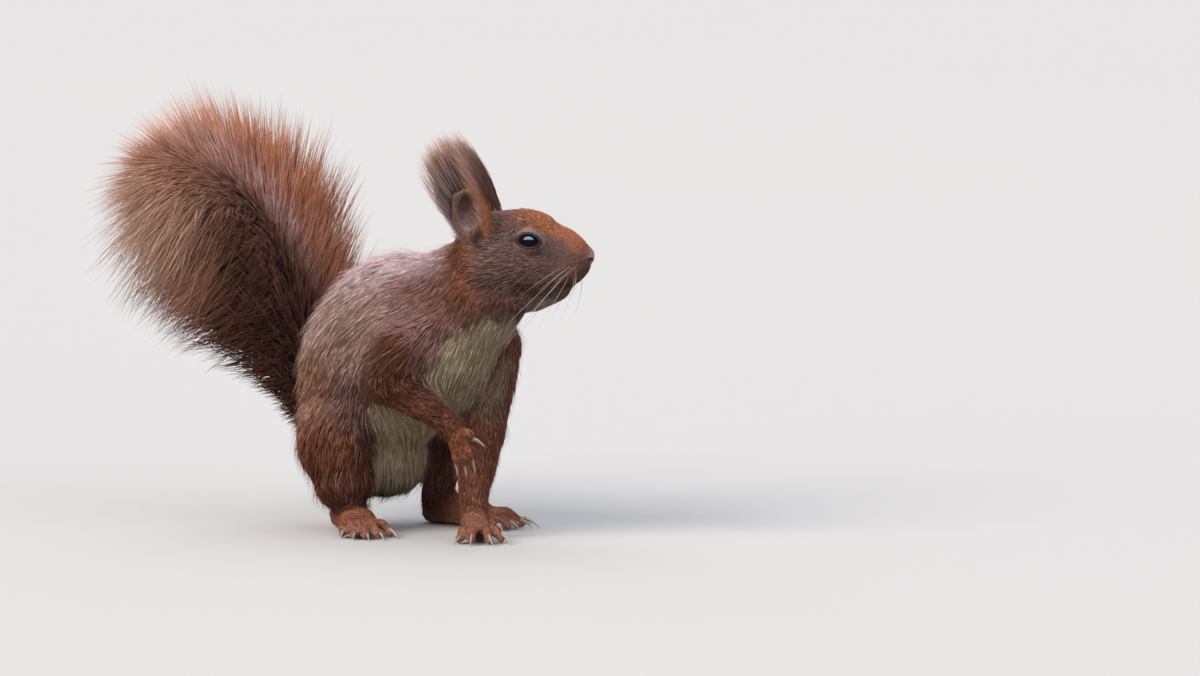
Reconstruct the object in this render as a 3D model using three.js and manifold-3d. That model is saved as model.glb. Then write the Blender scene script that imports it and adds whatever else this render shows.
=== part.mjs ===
// Red squirrel (Sciurus vulgaris) in winter coat: a still, life-size model out to the tips of its fur.
// It stands on both hind feet and the left forefoot, the right forepaw lifted across the chest,
// the head turned to its left and the brush of the tail raised behind it.
// Millimetres, +Z up. The head looks along +X, the chest is turned towards -Y.

import * as THREE from 'three';
import { LoftGeometry } from 'three/addons/geometries/LoftGeometry.js';
import { mergeVertices } from 'three/addons/utils/BufferGeometryUtils.js';
import ManifoldModule from 'manifold-3d';

const wasm = await ManifoldModule();
wasm.setup();

// ---------- driving dimensions ----------

const GAP = 0.3; // air between neighbouring pieces
const FLOOR_DEPTH = 20; // block below the soles that cuts them flat
const SLIT = 0.0013; // half the thin cut between two lengths of one sweep, as a share of its path
const DOME_STEPS = [34, 66]; // degrees round a domed end at which its rings lie

const TRUNK_YAW = THREE.MathUtils.degToRad(48); // chest turned this far from the line of sight +X
const HEAD_YAW = THREE.MathUtils.degToRad(7);
const HEAD_AT = new THREE.Vector3(44, -36, 105); // middle of the skull

const EYE_RADIUS = 4.9;
const EYE_AT = { forward: 5.0, side: 9.9, up: 5.8 };
const ORBIT = { along: 5.3, deep: 3.2, high: 4.2, side: 13.6 }; // the coat stands back from the eye
const NOSE_AT = { forward: 25.2, up: 0.3 };
const NOSE_SIZE = { long: 3.3, wide: 3.0, high: 3.9 };

const TOE_RADIUS = 2.1;
const PAW_TOE_RADIUS = 1.75; // the toes of the hanging forepaw, which bear no weight
const TOE_TAPER = 0.2; // thinner by this much at each joint towards the tip
const TOE_HEIGHT = 1.45; // middle of a standing toe's tip above the ground: its pad is pressed flat
const CLAW_RADIUS = 1.05;
const CLAW_START = 1.9; // from the middle of the toe's tip, just clear of its pad
const CLAW_LENGTH = 4.3;
const PAW_CLAW_LENGTH = 2.8; // the claws of the hanging forepaw are half drawn in
const CLAW_RISE = 0.5; // claws leave above the middle of the toe
const CLAW_HOOK = 1.2; // the point curves this far down
const CLAW_TAPER = 0.8; // share of its thickness that a claw loses towards the point
const CLAW_FLATNESS = 0.75; // a claw is thinner from side to side

const NECK_CUT = 0.7; // share of the path from rump to skull where the neck begins
const TAIL_TWIST = THREE.MathUtils.degToRad(24); // the flat of the brush against the X-Z plane
const TAIL_CUTS = [0, 0.34, 0.56, 0.78, 1]; // shares of the tail's path where it is divided

const FORWARD = new THREE.Vector3(Math.cos(TRUNK_YAW), -Math.sin(TRUNK_YAW), 0);
const LEFT = new THREE.Vector3(Math.sin(TRUNK_YAW), Math.cos(TRUNK_YAW), 0);
const HEAD_FORWARD = new THREE.Vector3(Math.cos(HEAD_YAW), -Math.sin(HEAD_YAW), 0);
const HEAD_LEFT = new THREE.Vector3(Math.sin(HEAD_YAW), Math.cos(HEAD_YAW), 0);
const UP = new THREE.Vector3(0, 0, 1);
const DOWN = new THREE.Vector3(0, 0, -1);
const PAW_SIDE = new THREE.Vector3(1, 0.2, 0.3).normalize(); // across the hanging forepaw
const PAW_HOOK = new THREE.Vector3(0.5, 0.1, -0.6); // the way its claws curve

// ---------- materials ----------

const skin = (color, roughness = 0.85) => new THREE.MeshStandardMaterial({ color, roughness, metalness: 0 });

const MATERIALS = {
  body_fur: skin('#8a5a48'),
  head_fur: skin('#8f6450'),
  leg_fur: skin('#9a5a3c'),
  ear_fur: skin('#6e4c40'),
  tail_fur: skin('#a4512f'),
  bare_skin: skin('#b98271', 0.6),
  horn: skin('#d8c2ae', 0.35),
  eye: skin('#0d0b0a', 0.08),
};

// ---------- solids ----------

// A closed three.js geometry as a solid that can be joined and cut.
function solidOf(geometry) {
  const plain = new THREE.BufferGeometry();
  plain.setAttribute('position', geometry.getAttribute('position'));
  plain.setIndex(geometry.getIndex());
  const merged = mergeVertices(plain, 1e-4);
  const mesh = new wasm.Mesh({
    numProp: 3,
    vertProperties: Float32Array.from(merged.attributes.position.array),
    triVerts: Uint32Array.from(merged.index.array),
  });
  return new wasm.Manifold(mesh);
}

// The biggest connected piece of a solid, as three.js geometry.
function geometryOf(solid) {
  const pieces = solid.decompose();
  pieces.sort((a, b) => b.volume() - a.volume());
  const mesh = pieces[0].getMesh();
  const geometry = new THREE.BufferGeometry();
  geometry.setAttribute('position', new THREE.BufferAttribute(Float32Array.from(mesh.vertProperties), 3));
  geometry.setIndex(new THREE.BufferAttribute(Uint32Array.from(mesh.triVerts), 1));
  geometry.computeVertexNormals();
  return geometry;
}

// A body swept along a smooth path. A station is [x, y, z, wide, up, down]: a point of the axis, the
// half width along `side`, and the depths above and below the axis. Ends are domed unless the sweep
// is only a share `from`..`to` of the path, which ends it flat.
function sweep(stations, { side, grow = 0, rings = 8, sides = 14, dome = 0.7, from = 0, to = 1 }) {
  const path = new THREE.CatmullRomCurve3(stations.map(([x, y, z]) => new THREE.Vector3(x, y, z)));
  const size = new THREE.CatmullRomCurve3(
    stations.map(([, , , wide, up, down = up]) => new THREE.Vector3(wide, up, down)),
  );
  const ring = (t, scale, beyond) => {
    const along = path.getTangent(t);
    const across = side.clone().addScaledVector(along, -side.dot(along)).normalize();
    const above = along.clone().cross(across);
    const centre = path.getPoint(t).addScaledVector(along, beyond);
    const half = size.getPoint(t).addScalar(grow).multiplyScalar(scale);
    const points = [];
    for (let i = 0; i < sides; i++) {
      const turn = (2 * Math.PI * i) / sides;
      const depth = Math.sin(turn) > 0 ? half.y : half.z;
      points.push(
        centre
          .clone()
          .addScaledVector(across, half.x * Math.cos(turn))
          .addScaledVector(above, depth * Math.sin(turn)),
      );
    }
    return points;
  };
  const domeRings = (t, sign) => {
    const half = size.getPoint(t);
    const reach = dome * Math.min(half.x, half.y, half.z) + grow;
    return DOME_STEPS.map((degrees) => {
      const turn = THREE.MathUtils.degToRad(degrees);
      return ring(t, Math.cos(turn), sign * reach * Math.sin(turn));
    });
  };
  const sections = [];
  if (from === 0) {
    sections.push(...domeRings(0, -1).reverse());
  }
  for (let i = 0; i <= rings; i++) {
    sections.push(ring(THREE.MathUtils.lerp(from, to, i / rings), 1, 0));
  }
  if (to === 1) {
    sections.push(...domeRings(1, 1));
  }
  return solidOf(new LoftGeometry(sections, { closed: true, capStart: true, capEnd: true }));
}

function ellipsoid(centre, radii, axes, grow = 0, detail = 10) {
  const ball = new THREE.SphereGeometry(1, detail, detail / 2);
  const [x, y, z] = axes;
  const frame = new THREE.Matrix4().makeBasis(x, y, z).setPosition(centre);
  ball.scale(radii[0] + grow, radii[1] + grow, radii[2] + grow).applyMatrix4(frame);
  return solidOf(ball);
}

function join(solids) {
  return solids.reduce((whole, solid) => whole.add(solid));
}

// The block under the soles.
function floor() {
  return solidOf(new THREE.BoxGeometry(400, 400, FLOOR_DEPTH).translate(0, 0, -FLOOR_DEPTH / 2));
}

// ---------- head ----------

const HEAD_AXES = [HEAD_FORWARD, HEAD_LEFT, UP];

// A point of the head from its own forward, left and up distances.
function headPoint(forward, left, up) {
  return HEAD_AT.clone()
    .addScaledVector(HEAD_FORWARD, forward)
    .addScaledVector(HEAD_LEFT, left)
    .addScaledVector(UP, up);
}

// Stations of a sweep along the head, from [forward, level, wide, top, bottom].
function headStations(profile) {
  return profile.map(([forward, level, wide, top, bottom]) => {
    const at = headPoint(forward, 0, level);
    return [at.x, at.y, at.z, wide, top - level, level - bottom];
  });
}

const SKULL = headStations([
  [-19, 0, 12, 12, -12],
  [-13, 0, 15.6, 16, -16.5],
  [-6, -1, 16.6, 17.8, -19.5],
  [1, -2, 15.8, 18.1, -20],
  [7, -2.5, 13.6, 16.9, -18],
  [13, -3, 10.8, 14.5, -14.2],
  [18, -2.2, 8.7, 12.7, -11.6],
  [22, -1.4, 6.7, 10.0, -9.2],
  [24.6, -1.0, 4.7, 7.2, -6.6],
]);

const JAW = headStations([
  [-4, -14, 9, -9, -21.8],
  [6, -14, 8, -9, -21.4],
  [13, -12.6, 5.8, -9, -17.8],
  [17.6, -11.8, 4.0, -9.4, -15.2],
]);

function head(grow) {
  const skull = sweep(SKULL, { side: HEAD_LEFT, grow, rings: 10, sides: 16, dome: 0.45 });
  return skull.add(sweep(JAW, { side: HEAD_LEFT, grow, rings: 3, sides: 8, dome: 0.5 }));
}

function orbit(hand) {
  const centre = headPoint(EYE_AT.forward, hand * ORBIT.side, EYE_AT.up);
  return ellipsoid(centre, [ORBIT.along, ORBIT.deep, ORBIT.high], HEAD_AXES);
}

function eye(hand, grow) {
  const centre = headPoint(EYE_AT.forward, hand * EYE_AT.side, EYE_AT.up);
  return ellipsoid(centre, [EYE_RADIUS, EYE_RADIUS, EYE_RADIUS], HEAD_AXES, grow, 12);
}

function nose(grow) {
  const centre = headPoint(NOSE_AT.forward, 0, NOSE_AT.up);
  return ellipsoid(centre, [NOSE_SIZE.long, NOSE_SIZE.wide, NOSE_SIZE.high], HEAD_AXES, grow);
}

// Stations of the ear or its tuft, from [forward, left, up, wide, deep].
function earStations(hand, profile) {
  return profile.map(([forward, left, up, wide, deep]) => {
    const at = headPoint(forward, hand * left, up);
    return [at.x, at.y, at.z, wide, deep];
  });
}

// The outer ear: an upright leaf with a hollow on its outer face.
const EAR = [
  [-12.0, 11.2, 4.5, 5.4, 3.6],
  [-14.2, 13.0, 11.4, 8.0, 3.9],
  [-16.8, 14.6, 18.4, 8.2, 3.6],
  [-18.8, 15.4, 23.8, 5.8, 2.6],
];
const EAR_HOLLOW = { forward: -16.6, left: 17.7, up: 17.2, radii: [5.0, 3.4, 7.6] };

// The winter tuft, a brush of long hair from the back and tip of the ear.
const EAR_TUFT = [
  [-14.6, 13.2, 15, 9.6, 4.0],
  [-19.5, 13.8, 23, 11.0, 4.8],
  [-25.2, 13.6, 32, 11.6, 4.8],
  [-31.0, 13.0, 40.2, 9.2, 3.8],
];

function ear(hand, grow) {
  return sweep(earStations(hand, EAR), { side: HEAD_FORWARD, grow, rings: 5, sides: 10, dome: 0.8 });
}

function earHollow(hand) {
  const { forward, left, up, radii } = EAR_HOLLOW;
  return ellipsoid(headPoint(forward, hand * left, up), radii, HEAD_AXES);
}

function earTuft(hand, grow) {
  return sweep(earStations(hand, EAR_TUFT), { side: HEAD_FORWARD, grow, rings: 4, sides: 10, dome: 0.9 });
}

// ---------- trunk, neck and tail ----------

// From the rump over the arched back to the skull.
const TORSO = [
  [-19, 16, 26, 17, 13, 13],
  [-15, 11, 38.5, 23, 25, 20],
  [-8, 1.5, 55, 27.5, 36, 32.5],
  [2, -10.5, 70, 29, 35.5, 34.5],
  [14, -21.5, 81.5, 26, 28.5, 31.5],
  [22.5, -28, 90.5, 19.5, 19.5, 27.5],
  [29, -32.5, 98.5, 15.5, 16.5, 27.5],
  [35, -36.5, 106, 10.5, 10.5, 27],
];

// The soft belly that hangs between the thighs.
const BELLY_AT = new THREE.Vector3(-4.5, 0, 29);
const BELLY_SIZE = [17, 18, 19];

// The brush is broad and thin: `wide` lies along its flat, `up` and `down` through it.
const TAIL = [
  [-24, 23, 26, 9, 9, 9],
  [-30, 29, 38, 12, 11, 11],
  [-36, 32, 53, 19, 14, 14],
  [-48, 34, 83, 44, 17, 17],
  [-61, 37, 106, 54, 19, 19],
  [-75, 38, 124, 48, 17, 17],
  [-86, 38, 140, 31, 12, 12],
];

function trunk(grow) {
  const back = sweep(TORSO, { side: LEFT, grow, rings: 10, sides: 16, to: NECK_CUT - SLIT });
  return back.add(ellipsoid(BELLY_AT, BELLY_SIZE, [FORWARD, LEFT, UP], grow));
}

function neck(grow) {
  return sweep(TORSO, { side: LEFT, grow, rings: 4, sides: 16, from: NECK_CUT + SLIT, to: 1 - SLIT });
}

function tailLength(index, grow) {
  const from = index === 0 ? 0 : TAIL_CUTS[index] + SLIT;
  const to = index === TAIL_CUTS.length - 2 ? 1 : TAIL_CUTS[index + 1] - SLIT;
  const side = new THREE.Vector3(Math.cos(TAIL_TWIST), Math.sin(TAIL_TWIST), 0);
  return sweep(TAIL, { side, grow, rings: 4, sides: 15, dome: 0.9, from, to });
}

// ---------- legs ----------

const LIMBS = {
  right_upper_arm: [
    [7, -29, 81, 13, 13],
    [-2, -33, 69, 12.5, 13],
    [-9, -33.5, 59, 8.5, 9, 7],
  ],
  right_forearm: [
    [-8.5, -36, 57, 7.0, 8.2, 5.6],
    [5, -40.5, 51.6, 6.6, 6.8, 5.2],
    [18.5, -43.5, 43.6, 4.8, 4.9, 4.3],
  ],
  left_upper_arm: [
    [35, -22, 73, 10, 12],
    [33.5, -19, 57, 10, 10],
    [31.2, -18, 44, 9.8, 8.6],
  ],
  left_forearm: [
    [31, -19.5, 42, 9.6, 8.4],
    [28.4, -25.5, 27, 8.2, 7.8],
    [27.6, -33.5, 13, 5.2, 5.4],
  ],
  right_thigh: [
    [-27, 7, 39, 11, 15.5, 16],
    [-25, -4, 36, 14, 20.5, 22],
    [-20.5, -15, 34, 12, 17, 19],
    [-17, -21, 32, 8, 11, 12],
  ],
  left_thigh: [
    [-5, 20, 39, 10, 14, 15],
    [3, 15, 36, 12.5, 19, 20],
    [10, 9, 34, 11, 15, 16],
    [14, 5.5, 32, 7.5, 10, 10],
  ],
  right_shin: [
    [-17.5, -17, 21, 9.5, 9],
    [-20.5, -8, 17, 10.5, 9],
    [-22.5, 1, 14, 8.5, 7],
  ],
  left_shin: [
    [15.2, 6, 27, 7.6, 7.6],
    [14.8, 10.5, 18, 7.0, 6.8],
    [12, 16, 9, 4.8, 5],
  ],
};

function limb(name, grow) {
  return sweep(LIMBS[name], { side: LEFT, grow, rings: 4, sides: 10 });
}

// A foot is its sole and its toes; each toe is a root, a bent knuckle and a tip.
const FEET = {
  right_hind: {
    sole: [
      [-22, 4, 4.6, 4.6, 5, 5.4],
      [-18.5, -8, 5.4, 5.6, 5.6, 6.0],
      [-15, -20, 4.8, 7.2, 5.2, 5.8],
    ],
    toes: [
      { root: [-18.5, -21, 4.4], knuckle: [-20.6, -27.5, 4.4], tip: [-21, -32.5, TOE_HEIGHT] },
      { root: [-16.8, -23, 4.8], knuckle: [-17.6, -31, 5.0], tip: [-17.2, -37.5, TOE_HEIGHT] },
      { root: [-14.8, -23.5, 5.0], knuckle: [-13.8, -32, 5.2], tip: [-12.4, -39, TOE_HEIGHT] },
      { root: [-12.8, -23, 4.8], knuckle: [-9.8, -30.5, 5.0], tip: [-7.6, -37, TOE_HEIGHT] },
      { root: [-11.0, -20.5, 4.4], knuckle: [-6.2, -25.5, 4.6], tip: [-3.4, -31, TOE_HEIGHT] },
    ],
  },
  left_hind: {
    sole: [
      [11.5, 19, 4.6, 4.6, 5, 5.4],
      [20, 12, 5.4, 5.6, 5.8, 6.0],
      [28.5, 3.5, 5.2, 7.0, 5.8, 6.2],
    ],
    toes: [
      { root: [28, -0.5, 4.6], knuckle: [32, -7, 4.8], tip: [35, -11.5, TOE_HEIGHT] },
      { root: [30.5, 0, 5.2], knuckle: [36, -5.2, 6.0], tip: [40.2, -9.4, TOE_HEIGHT] },
      { root: [32, 1.6, 5.4], knuckle: [38.8, -2, 6.6], tip: [44, -5.0, TOE_HEIGHT] },
      { root: [32.5, 4, 5.2], knuckle: [39.4, 2.4, 6.2], tip: [45.2, 1.0, TOE_HEIGHT] },
      { root: [31.5, 6.6, 4.6], knuckle: [37.2, 7.6, 4.8], tip: [42.2, 7.8, TOE_HEIGHT] },
    ],
  },
  left_fore: {
    sole: [
      [27.8, -35.5, 8.5, 5.0, 5.2, 5.2],
      [28.4, -40, 5.0, 5.6, 4.6, 6.0],
      [29, -43.5, 4.0, 5.8, 3.8, 5.2],
    ],
    toes: [
      { root: [25.8, -42.5, 4.2], knuckle: [23.4, -47, 4.4], tip: [22.2, -51.5, TOE_HEIGHT] },
      { root: [27.8, -44.5, 4.4], knuckle: [27, -50.5, 4.8], tip: [26.8, -56, TOE_HEIGHT] },
      { root: [30.6, -44.5, 4.4], knuckle: [32.4, -50, 4.8], tip: [33.4, -55, TOE_HEIGHT] },
      { root: [32.2, -42.5, 4.2], knuckle: [35.6, -46.5, 4.4], tip: [37.8, -50, TOE_HEIGHT] },
    ],
  },
  right_fore: {
    sole: [
      [19.6, -44.5, 42.4, 4.2, 4.4, 4.4],
      [21.6, -46, 38.8, 4.0, 3.6, 4.0],
      [22.4, -46.5, 35.8, 3.7, 2.9, 3.3],
    ],
    toes: [
      { root: [23.2, -46.5, 41], knuckle: [25.8, -47.8, 41], tip: [27.4, -47.4, 39.6] },
      { root: [23.8, -47, 36], knuckle: [26, -48.2, 33.6], tip: [26.6, -47, 30.9] },
      { root: [22.4, -47, 35], knuckle: [23.7, -48.2, 32], tip: [24, -46.8, 29.3] },
      { root: [20.4, -46.6, 35.4], knuckle: [20.7, -48, 32.4], tip: [20.9, -46.8, 30] },
    ],
  },
};

// The right forepaw hangs in front of the chest; the other three feet stand.
function isHanging(name) {
  return name === 'right_fore';
}

// A standing foot lies flat, so its side runs level across it.
function footSide(name) {
  const { sole } = FEET[name];
  const [heel, ball] = [sole[0], sole[sole.length - 1]];
  const along = new THREE.Vector3(ball[0] - heel[0], ball[1] - heel[1], 0);
  return isHanging(name) ? PAW_SIDE : along.cross(UP).negate().normalize();
}

function foot(name, grow) {
  const { sole, toes } = FEET[name];
  const side = footSide(name);
  const swept = toes.map(({ root, knuckle, tip }) => {
    const stations = [root, knuckle, tip].map((at, joint) => {
      const radius = (isHanging(name) ? PAW_TOE_RADIUS : TOE_RADIUS) - TOE_TAPER * joint;
      return [...at, radius, radius];
    });
    return sweep(stations, { side, grow, rings: 2, sides: 5, dome: 0.9, from: SLIT });
  });
  return join([sweep(sole, { side, grow, rings: 2, sides: 8, dome: 0.7 }), ...swept]);
}

// A claw leaves the tip of its toe, curves down and ends in a point above the ground.
function claw(name, index) {
  const { knuckle, tip } = FEET[name].toes[index];
  const from = new THREE.Vector3(...tip);
  const along = from.clone().sub(new THREE.Vector3(...knuckle)).normalize();
  const out = isHanging(name) ? along.clone() : new THREE.Vector3(along.x, along.y, 0).normalize();
  const hook = isHanging(name) ? PAW_HOOK : DOWN;
  const rise = isHanging(name) ? 0 : CLAW_RISE;
  const length = isHanging(name) ? PAW_CLAW_LENGTH : CLAW_LENGTH;
  const stations = [0, 0.5, 1].map((share) => {
    const at = from
      .clone()
      .addScaledVector(out, CLAW_START + length * share)
      .addScaledVector(hook, CLAW_HOOK * share * share)
      .addScaledVector(UP, rise);
    const radius = CLAW_RADIUS * (1 - CLAW_TAPER * share * share);
    return [at.x, at.y, at.z, CLAW_FLATNESS * radius, radius];
  });
  const side = new THREE.Vector3().crossVectors(along, UP).normalize();
  return sweep(stations, { side, rings: 2, sides: 5, from: SLIT, to: 1 - SLIT });
}

// ---------- assembly ----------

// In order: each piece gives way to those before it.
const PIECES = [
  ['right_eye', 'eye', (grow) => eye(-1, grow)],
  ['left_eye', 'eye', (grow) => eye(1, grow)],
  ['nose', 'bare_skin', nose],
  ['head', 'head_fur', head, [orbit(-1), orbit(1)]],
  ['trunk', 'body_fur', trunk],
  ['neck', 'body_fur', neck],
  ['right_ear', 'ear_fur', (grow) => ear(-1, grow), [earHollow(-1)]],
  ['left_ear', 'ear_fur', (grow) => ear(1, grow), [earHollow(1)]],
  ['right_ear_tuft', 'ear_fur', (grow) => earTuft(-1, grow), [earHollow(-1)]],
  ['left_ear_tuft', 'ear_fur', (grow) => earTuft(1, grow), [earHollow(1)]],
  ...Object.keys(LIMBS).map((name) => [name, 'leg_fur', (grow) => limb(name, grow)]),
  ...Object.keys(FEET).map((name) => [`${name}_foot`, 'leg_fur', (grow) => foot(name, grow), [floor()]]),
  ...TAIL_CUTS.slice(1).map((_, i) => [`tail_${i + 1}`, 'tail_fur', (grow) => tailLength(i, grow)]),
  ...Object.keys(FEET).flatMap((name) =>
    FEET[name].toes.map((_, i) => [`${name}_claw_${i + 1}`, 'horn', () => claw(name, i)]),
  ),
];

const squirrel = new THREE.Group();
const earlier = [];

for (const [name, material, shape, hollows = []] of PIECES) {
  let solid = shape(0);
  for (const hollow of hollows) {
    solid = solid.subtract(hollow);
  }
  for (const piece of earlier) {
    const sameTail = name.startsWith('tail_') && piece.name.startsWith('tail_');
    if (!sameTail) {
      solid = solid.subtract(piece.grown);
    }
  }
  if (material !== 'horn') {
    earlier.push({ name, grown: shape(GAP) });
  }
  const mesh = new THREE.Mesh(geometryOf(solid), MATERIALS[material]);
  mesh.name = name;
  squirrel.add(mesh);
}

// The origin is the middle of the footprint, on the ground.
const bounds = new THREE.Box3().setFromObject(squirrel, true);
const middle = bounds.getCenter(new THREE.Vector3());
squirrel.position.set(-middle.x, -middle.y, -bounds.min.z);

export default squirrel;
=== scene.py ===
"""Red squirrel (Sciurus vulgaris): the looks of a still, life-size model over its CAD frame.

One seamless skin replaces the solids of flesh. Over it lies a coat of solid tufts that follow the lie
of the fur, with long-haired ear tufts and tail. Eyes, claws and whiskers are pieces of their own.
Lengths are in metres unless a name or comment says millimetres.
"""

import math

import bmesh
import bpy
import numpy as np
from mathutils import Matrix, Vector
from mathutils.bvhtree import BVHTree
from mathutils.kdtree import KDTree


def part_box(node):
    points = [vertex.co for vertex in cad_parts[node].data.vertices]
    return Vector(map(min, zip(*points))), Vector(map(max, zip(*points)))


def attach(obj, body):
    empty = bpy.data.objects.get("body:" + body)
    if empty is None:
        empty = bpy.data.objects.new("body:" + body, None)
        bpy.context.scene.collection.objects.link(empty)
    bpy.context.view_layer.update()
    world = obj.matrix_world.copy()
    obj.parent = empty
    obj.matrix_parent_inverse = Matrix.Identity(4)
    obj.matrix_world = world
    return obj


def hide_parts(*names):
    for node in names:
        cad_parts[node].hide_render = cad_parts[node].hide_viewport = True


bl_info = {
    "name": "Red squirrel",
    "version": (1, 0, 0),
    "blender": (4, 5, 0),
    "location": "View3D > Sidebar > Squirrel",
    "description": "Skin, coat, eyes, claws and stage of a still red squirrel",
    "category": "Object",
}

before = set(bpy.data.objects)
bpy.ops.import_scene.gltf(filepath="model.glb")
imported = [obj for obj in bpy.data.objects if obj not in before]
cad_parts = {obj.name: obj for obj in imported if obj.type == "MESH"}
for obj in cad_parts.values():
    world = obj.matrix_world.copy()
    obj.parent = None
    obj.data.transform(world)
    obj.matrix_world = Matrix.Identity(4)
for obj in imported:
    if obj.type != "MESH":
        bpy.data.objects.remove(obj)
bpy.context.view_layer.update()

MM = 0.001

# ---------- where things are, from the frame ----------

HEAD = ["head", "nose"]
TRUNK = ["neck", "trunk"]
EARS = ["right_ear", "left_ear"]
EAR_TUFTS = ["right_ear_tuft", "left_ear_tuft"]
ARMS = ["right_upper_arm", "right_forearm", "left_upper_arm", "left_forearm"]
HIND_LEGS = ["right_thigh", "left_thigh", "right_shin", "left_shin"]
FEET = ["right_hind_foot", "left_hind_foot", "left_fore_foot", "right_fore_foot"]
TAIL = ["tail_1", "tail_2", "tail_3", "tail_4"]
FLESH = HEAD + TRUNK + EARS + ARMS + HIND_LEGS + FEET
CLAWS = [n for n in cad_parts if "_claw_" in n]


def centre_of(node):
    """The middle of a solid's box."""
    low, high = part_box(node)
    return np.array((low + high) / 2)


# The maker's own axes have their origin under the belly, which the right eye's place gives back.
RIGHT_EYE_MM = np.array([47.756, -46.436, 110.8])
ORIGIN = centre_of("right_eye") - RIGHT_EYE_MM * MM


def to_mm(points):
    """Places of the frame on the maker's axes, in millimetres."""
    return (np.asarray(points) - ORIGIN) / MM


def from_mm(points):
    """Places on the maker's axes as places of the frame."""
    return np.asarray(points, float) * MM + ORIGIN


RIGHT_EYE, LEFT_EYE = centre_of("right_eye"), centre_of("left_eye")
UP = np.array([0.0, 0.0, 1.0])
HEAD_LEFT = (LEFT_EYE - RIGHT_EYE) / np.linalg.norm(LEFT_EYE - RIGHT_EYE)
HEAD_FORWARD = np.cross(HEAD_LEFT, UP)
EYE_FORWARD_MM, EYE_UP_MM = 5.0, 5.8
SKULL = (RIGHT_EYE + LEFT_EYE) / 2 - (EYE_FORWARD_MM * HEAD_FORWARD + EYE_UP_MM * UP) * MM
HEAD_AXES = np.array([HEAD_FORWARD, HEAD_LEFT, UP])


def to_head_mm(points):
    """Forward, left and up distances from the middle of the skull, in millimetres."""
    return (np.asarray(points) - SKULL) @ HEAD_AXES.T / MM


def from_head_mm(points):
    """Places on the head's axes as places of the frame."""
    return SKULL + np.asarray(points, float) @ HEAD_AXES * MM


# ---------- numbers a user may change ----------


def linear(hex_colour):
    """An sRGB hex colour as the linear values that shaders take."""
    channels = [int(hex_colour[i : i + 2], 16) / 255 for i in (1, 3, 5)]
    return tuple(c / 12.92 if c <= 0.04045 else ((c + 0.055) / 1.055) ** 2.4 for c in channels)


def paint(hex_colour):
    """The same as an opaque colour for a shader's input."""
    return (*linear(hex_colour), 1)


def palette(name):
    """One of the colours that a user may change, for a shader's input."""
    return (*getattr(bpy.context.scene.squirrel_colours, name), 1)


def colour_setting(name, description, hex_colour):
    """A colour that a user may change."""
    return bpy.props.FloatVectorProperty(
        name=name, description=description, subtype="COLOR", size=3, min=0, max=1, default=linear(hex_colour)
    )


def length_setting(name, description, millimetres):
    """A length that a user may change."""
    return bpy.props.FloatProperty(
        name=name, description=description, unit="LENGTH", min=0, default=millimetres * MM
    )


class SquirrelSizes(bpy.types.PropertyGroup):
    """Lengths of the skin's mesh and of the long hair"""

    voxel: length_setting("Skin detail", "Spacing of the skin's mesh on the body", 1.0)
    tail_hair: length_setting("Tail hair", "Length of the longest hairs of the tail", 60.0)
    whisker: length_setting("Whiskers", "Length of the longest whisker", 36.0)


class SquirrelColours(bpy.types.PropertyGroup):
    """The animal's colours and the floor's"""

    chestnut: colour_setting("Chestnut", "The coat's ground colour", "#a56f62")
    # Lilac also lies on the top of the back as a painted sheen of sky light, and on the flank as painted
    # light.
    lilac: colour_setting("Lilac grey", "Frosted winter hair over the back", "#e6cfd6")
    # Umber in the fold between flank and haunch is a painted shade.
    umber: colour_setting("Umber", "Sides of the face and the fold between flank and haunch", "#80655f")
    red: colour_setting("Red", "Haunch, forearms, feet and the fringe of the tail", "#b06a45")
    orange: colour_setting("Orange", "Forehead, bridge of the nose and front of the ears", "#c47a4c")
    cream: colour_setting("Cream", "Throat, chest and belly", "#efe2c4")
    # Dark also lies as painted shade: in the haunch's fold, where the arm leaves the body and over the lifted
    # elbow, on the lower cheeks, in the ears' hollows and notches, the mouth and nostrils, between the toes,
    # low on the belly and inside the ear tufts.
    dark: colour_setting("Dark", "Root of the tail, notch of the ears, rim of the eyes", "#36170d")
    # Pale also lies as painted light on the flank and the top of the haunch.
    pale: colour_setting("Pale", "Ring round the eye, rim of the ear and light tips", "#dcb7a3")
    flesh: colour_setting("Flesh", "Bare skin of the nose and toes", "#c4907e")
    horn: colour_setting("Horn", "Claws", "#d8cab9")
    floor: colour_setting("Floor", "The stage", "#d6d4d1")


# Zones of colour, in the order in which one lies over another.
ZONES = ["lilac", "umber", "red", "orange", "cream", "dark", "pale", "flesh"]


# ---------- small tools ----------


def add(tree, kind, settings=None, links=None):
    """One node, with its settings, and a value or another node's socket for each input."""
    node = tree.nodes.new(kind)
    for name, value in (settings or {}).items():
        setattr(node, name, value)
    for name, source in (links or {}).items():
        if isinstance(source, bpy.types.NodeSocket):
            tree.links.new(source, node.inputs[name])
        else:
            node.inputs[name].default_value = source
    return node


def new_material(name):
    """A material without nodes, and its node tree."""
    material = bpy.data.materials.new(name)
    material.use_nodes = True
    material.node_tree.nodes.clear()
    return material, material.node_tree


def deselect():
    bpy.ops.object.select_all(action="DESELECT")


def only(obj):
    """Makes obj the one selected and active object."""
    deselect()
    obj.select_set(True)
    bpy.context.view_layer.objects.active = obj


def smoothstep(low, high, value):
    """Fades smoothly from 0 at low to 1 at high; low may be the greater."""
    t = np.clip((value - low) / (high - low), 0, 1)
    return t * t * (3 - 2 * t)


def unit(vectors):
    """The same directions with length 1."""
    return vectors / np.maximum(np.linalg.norm(vectors, axis=-1, keepdims=True), 1e-12)


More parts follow.
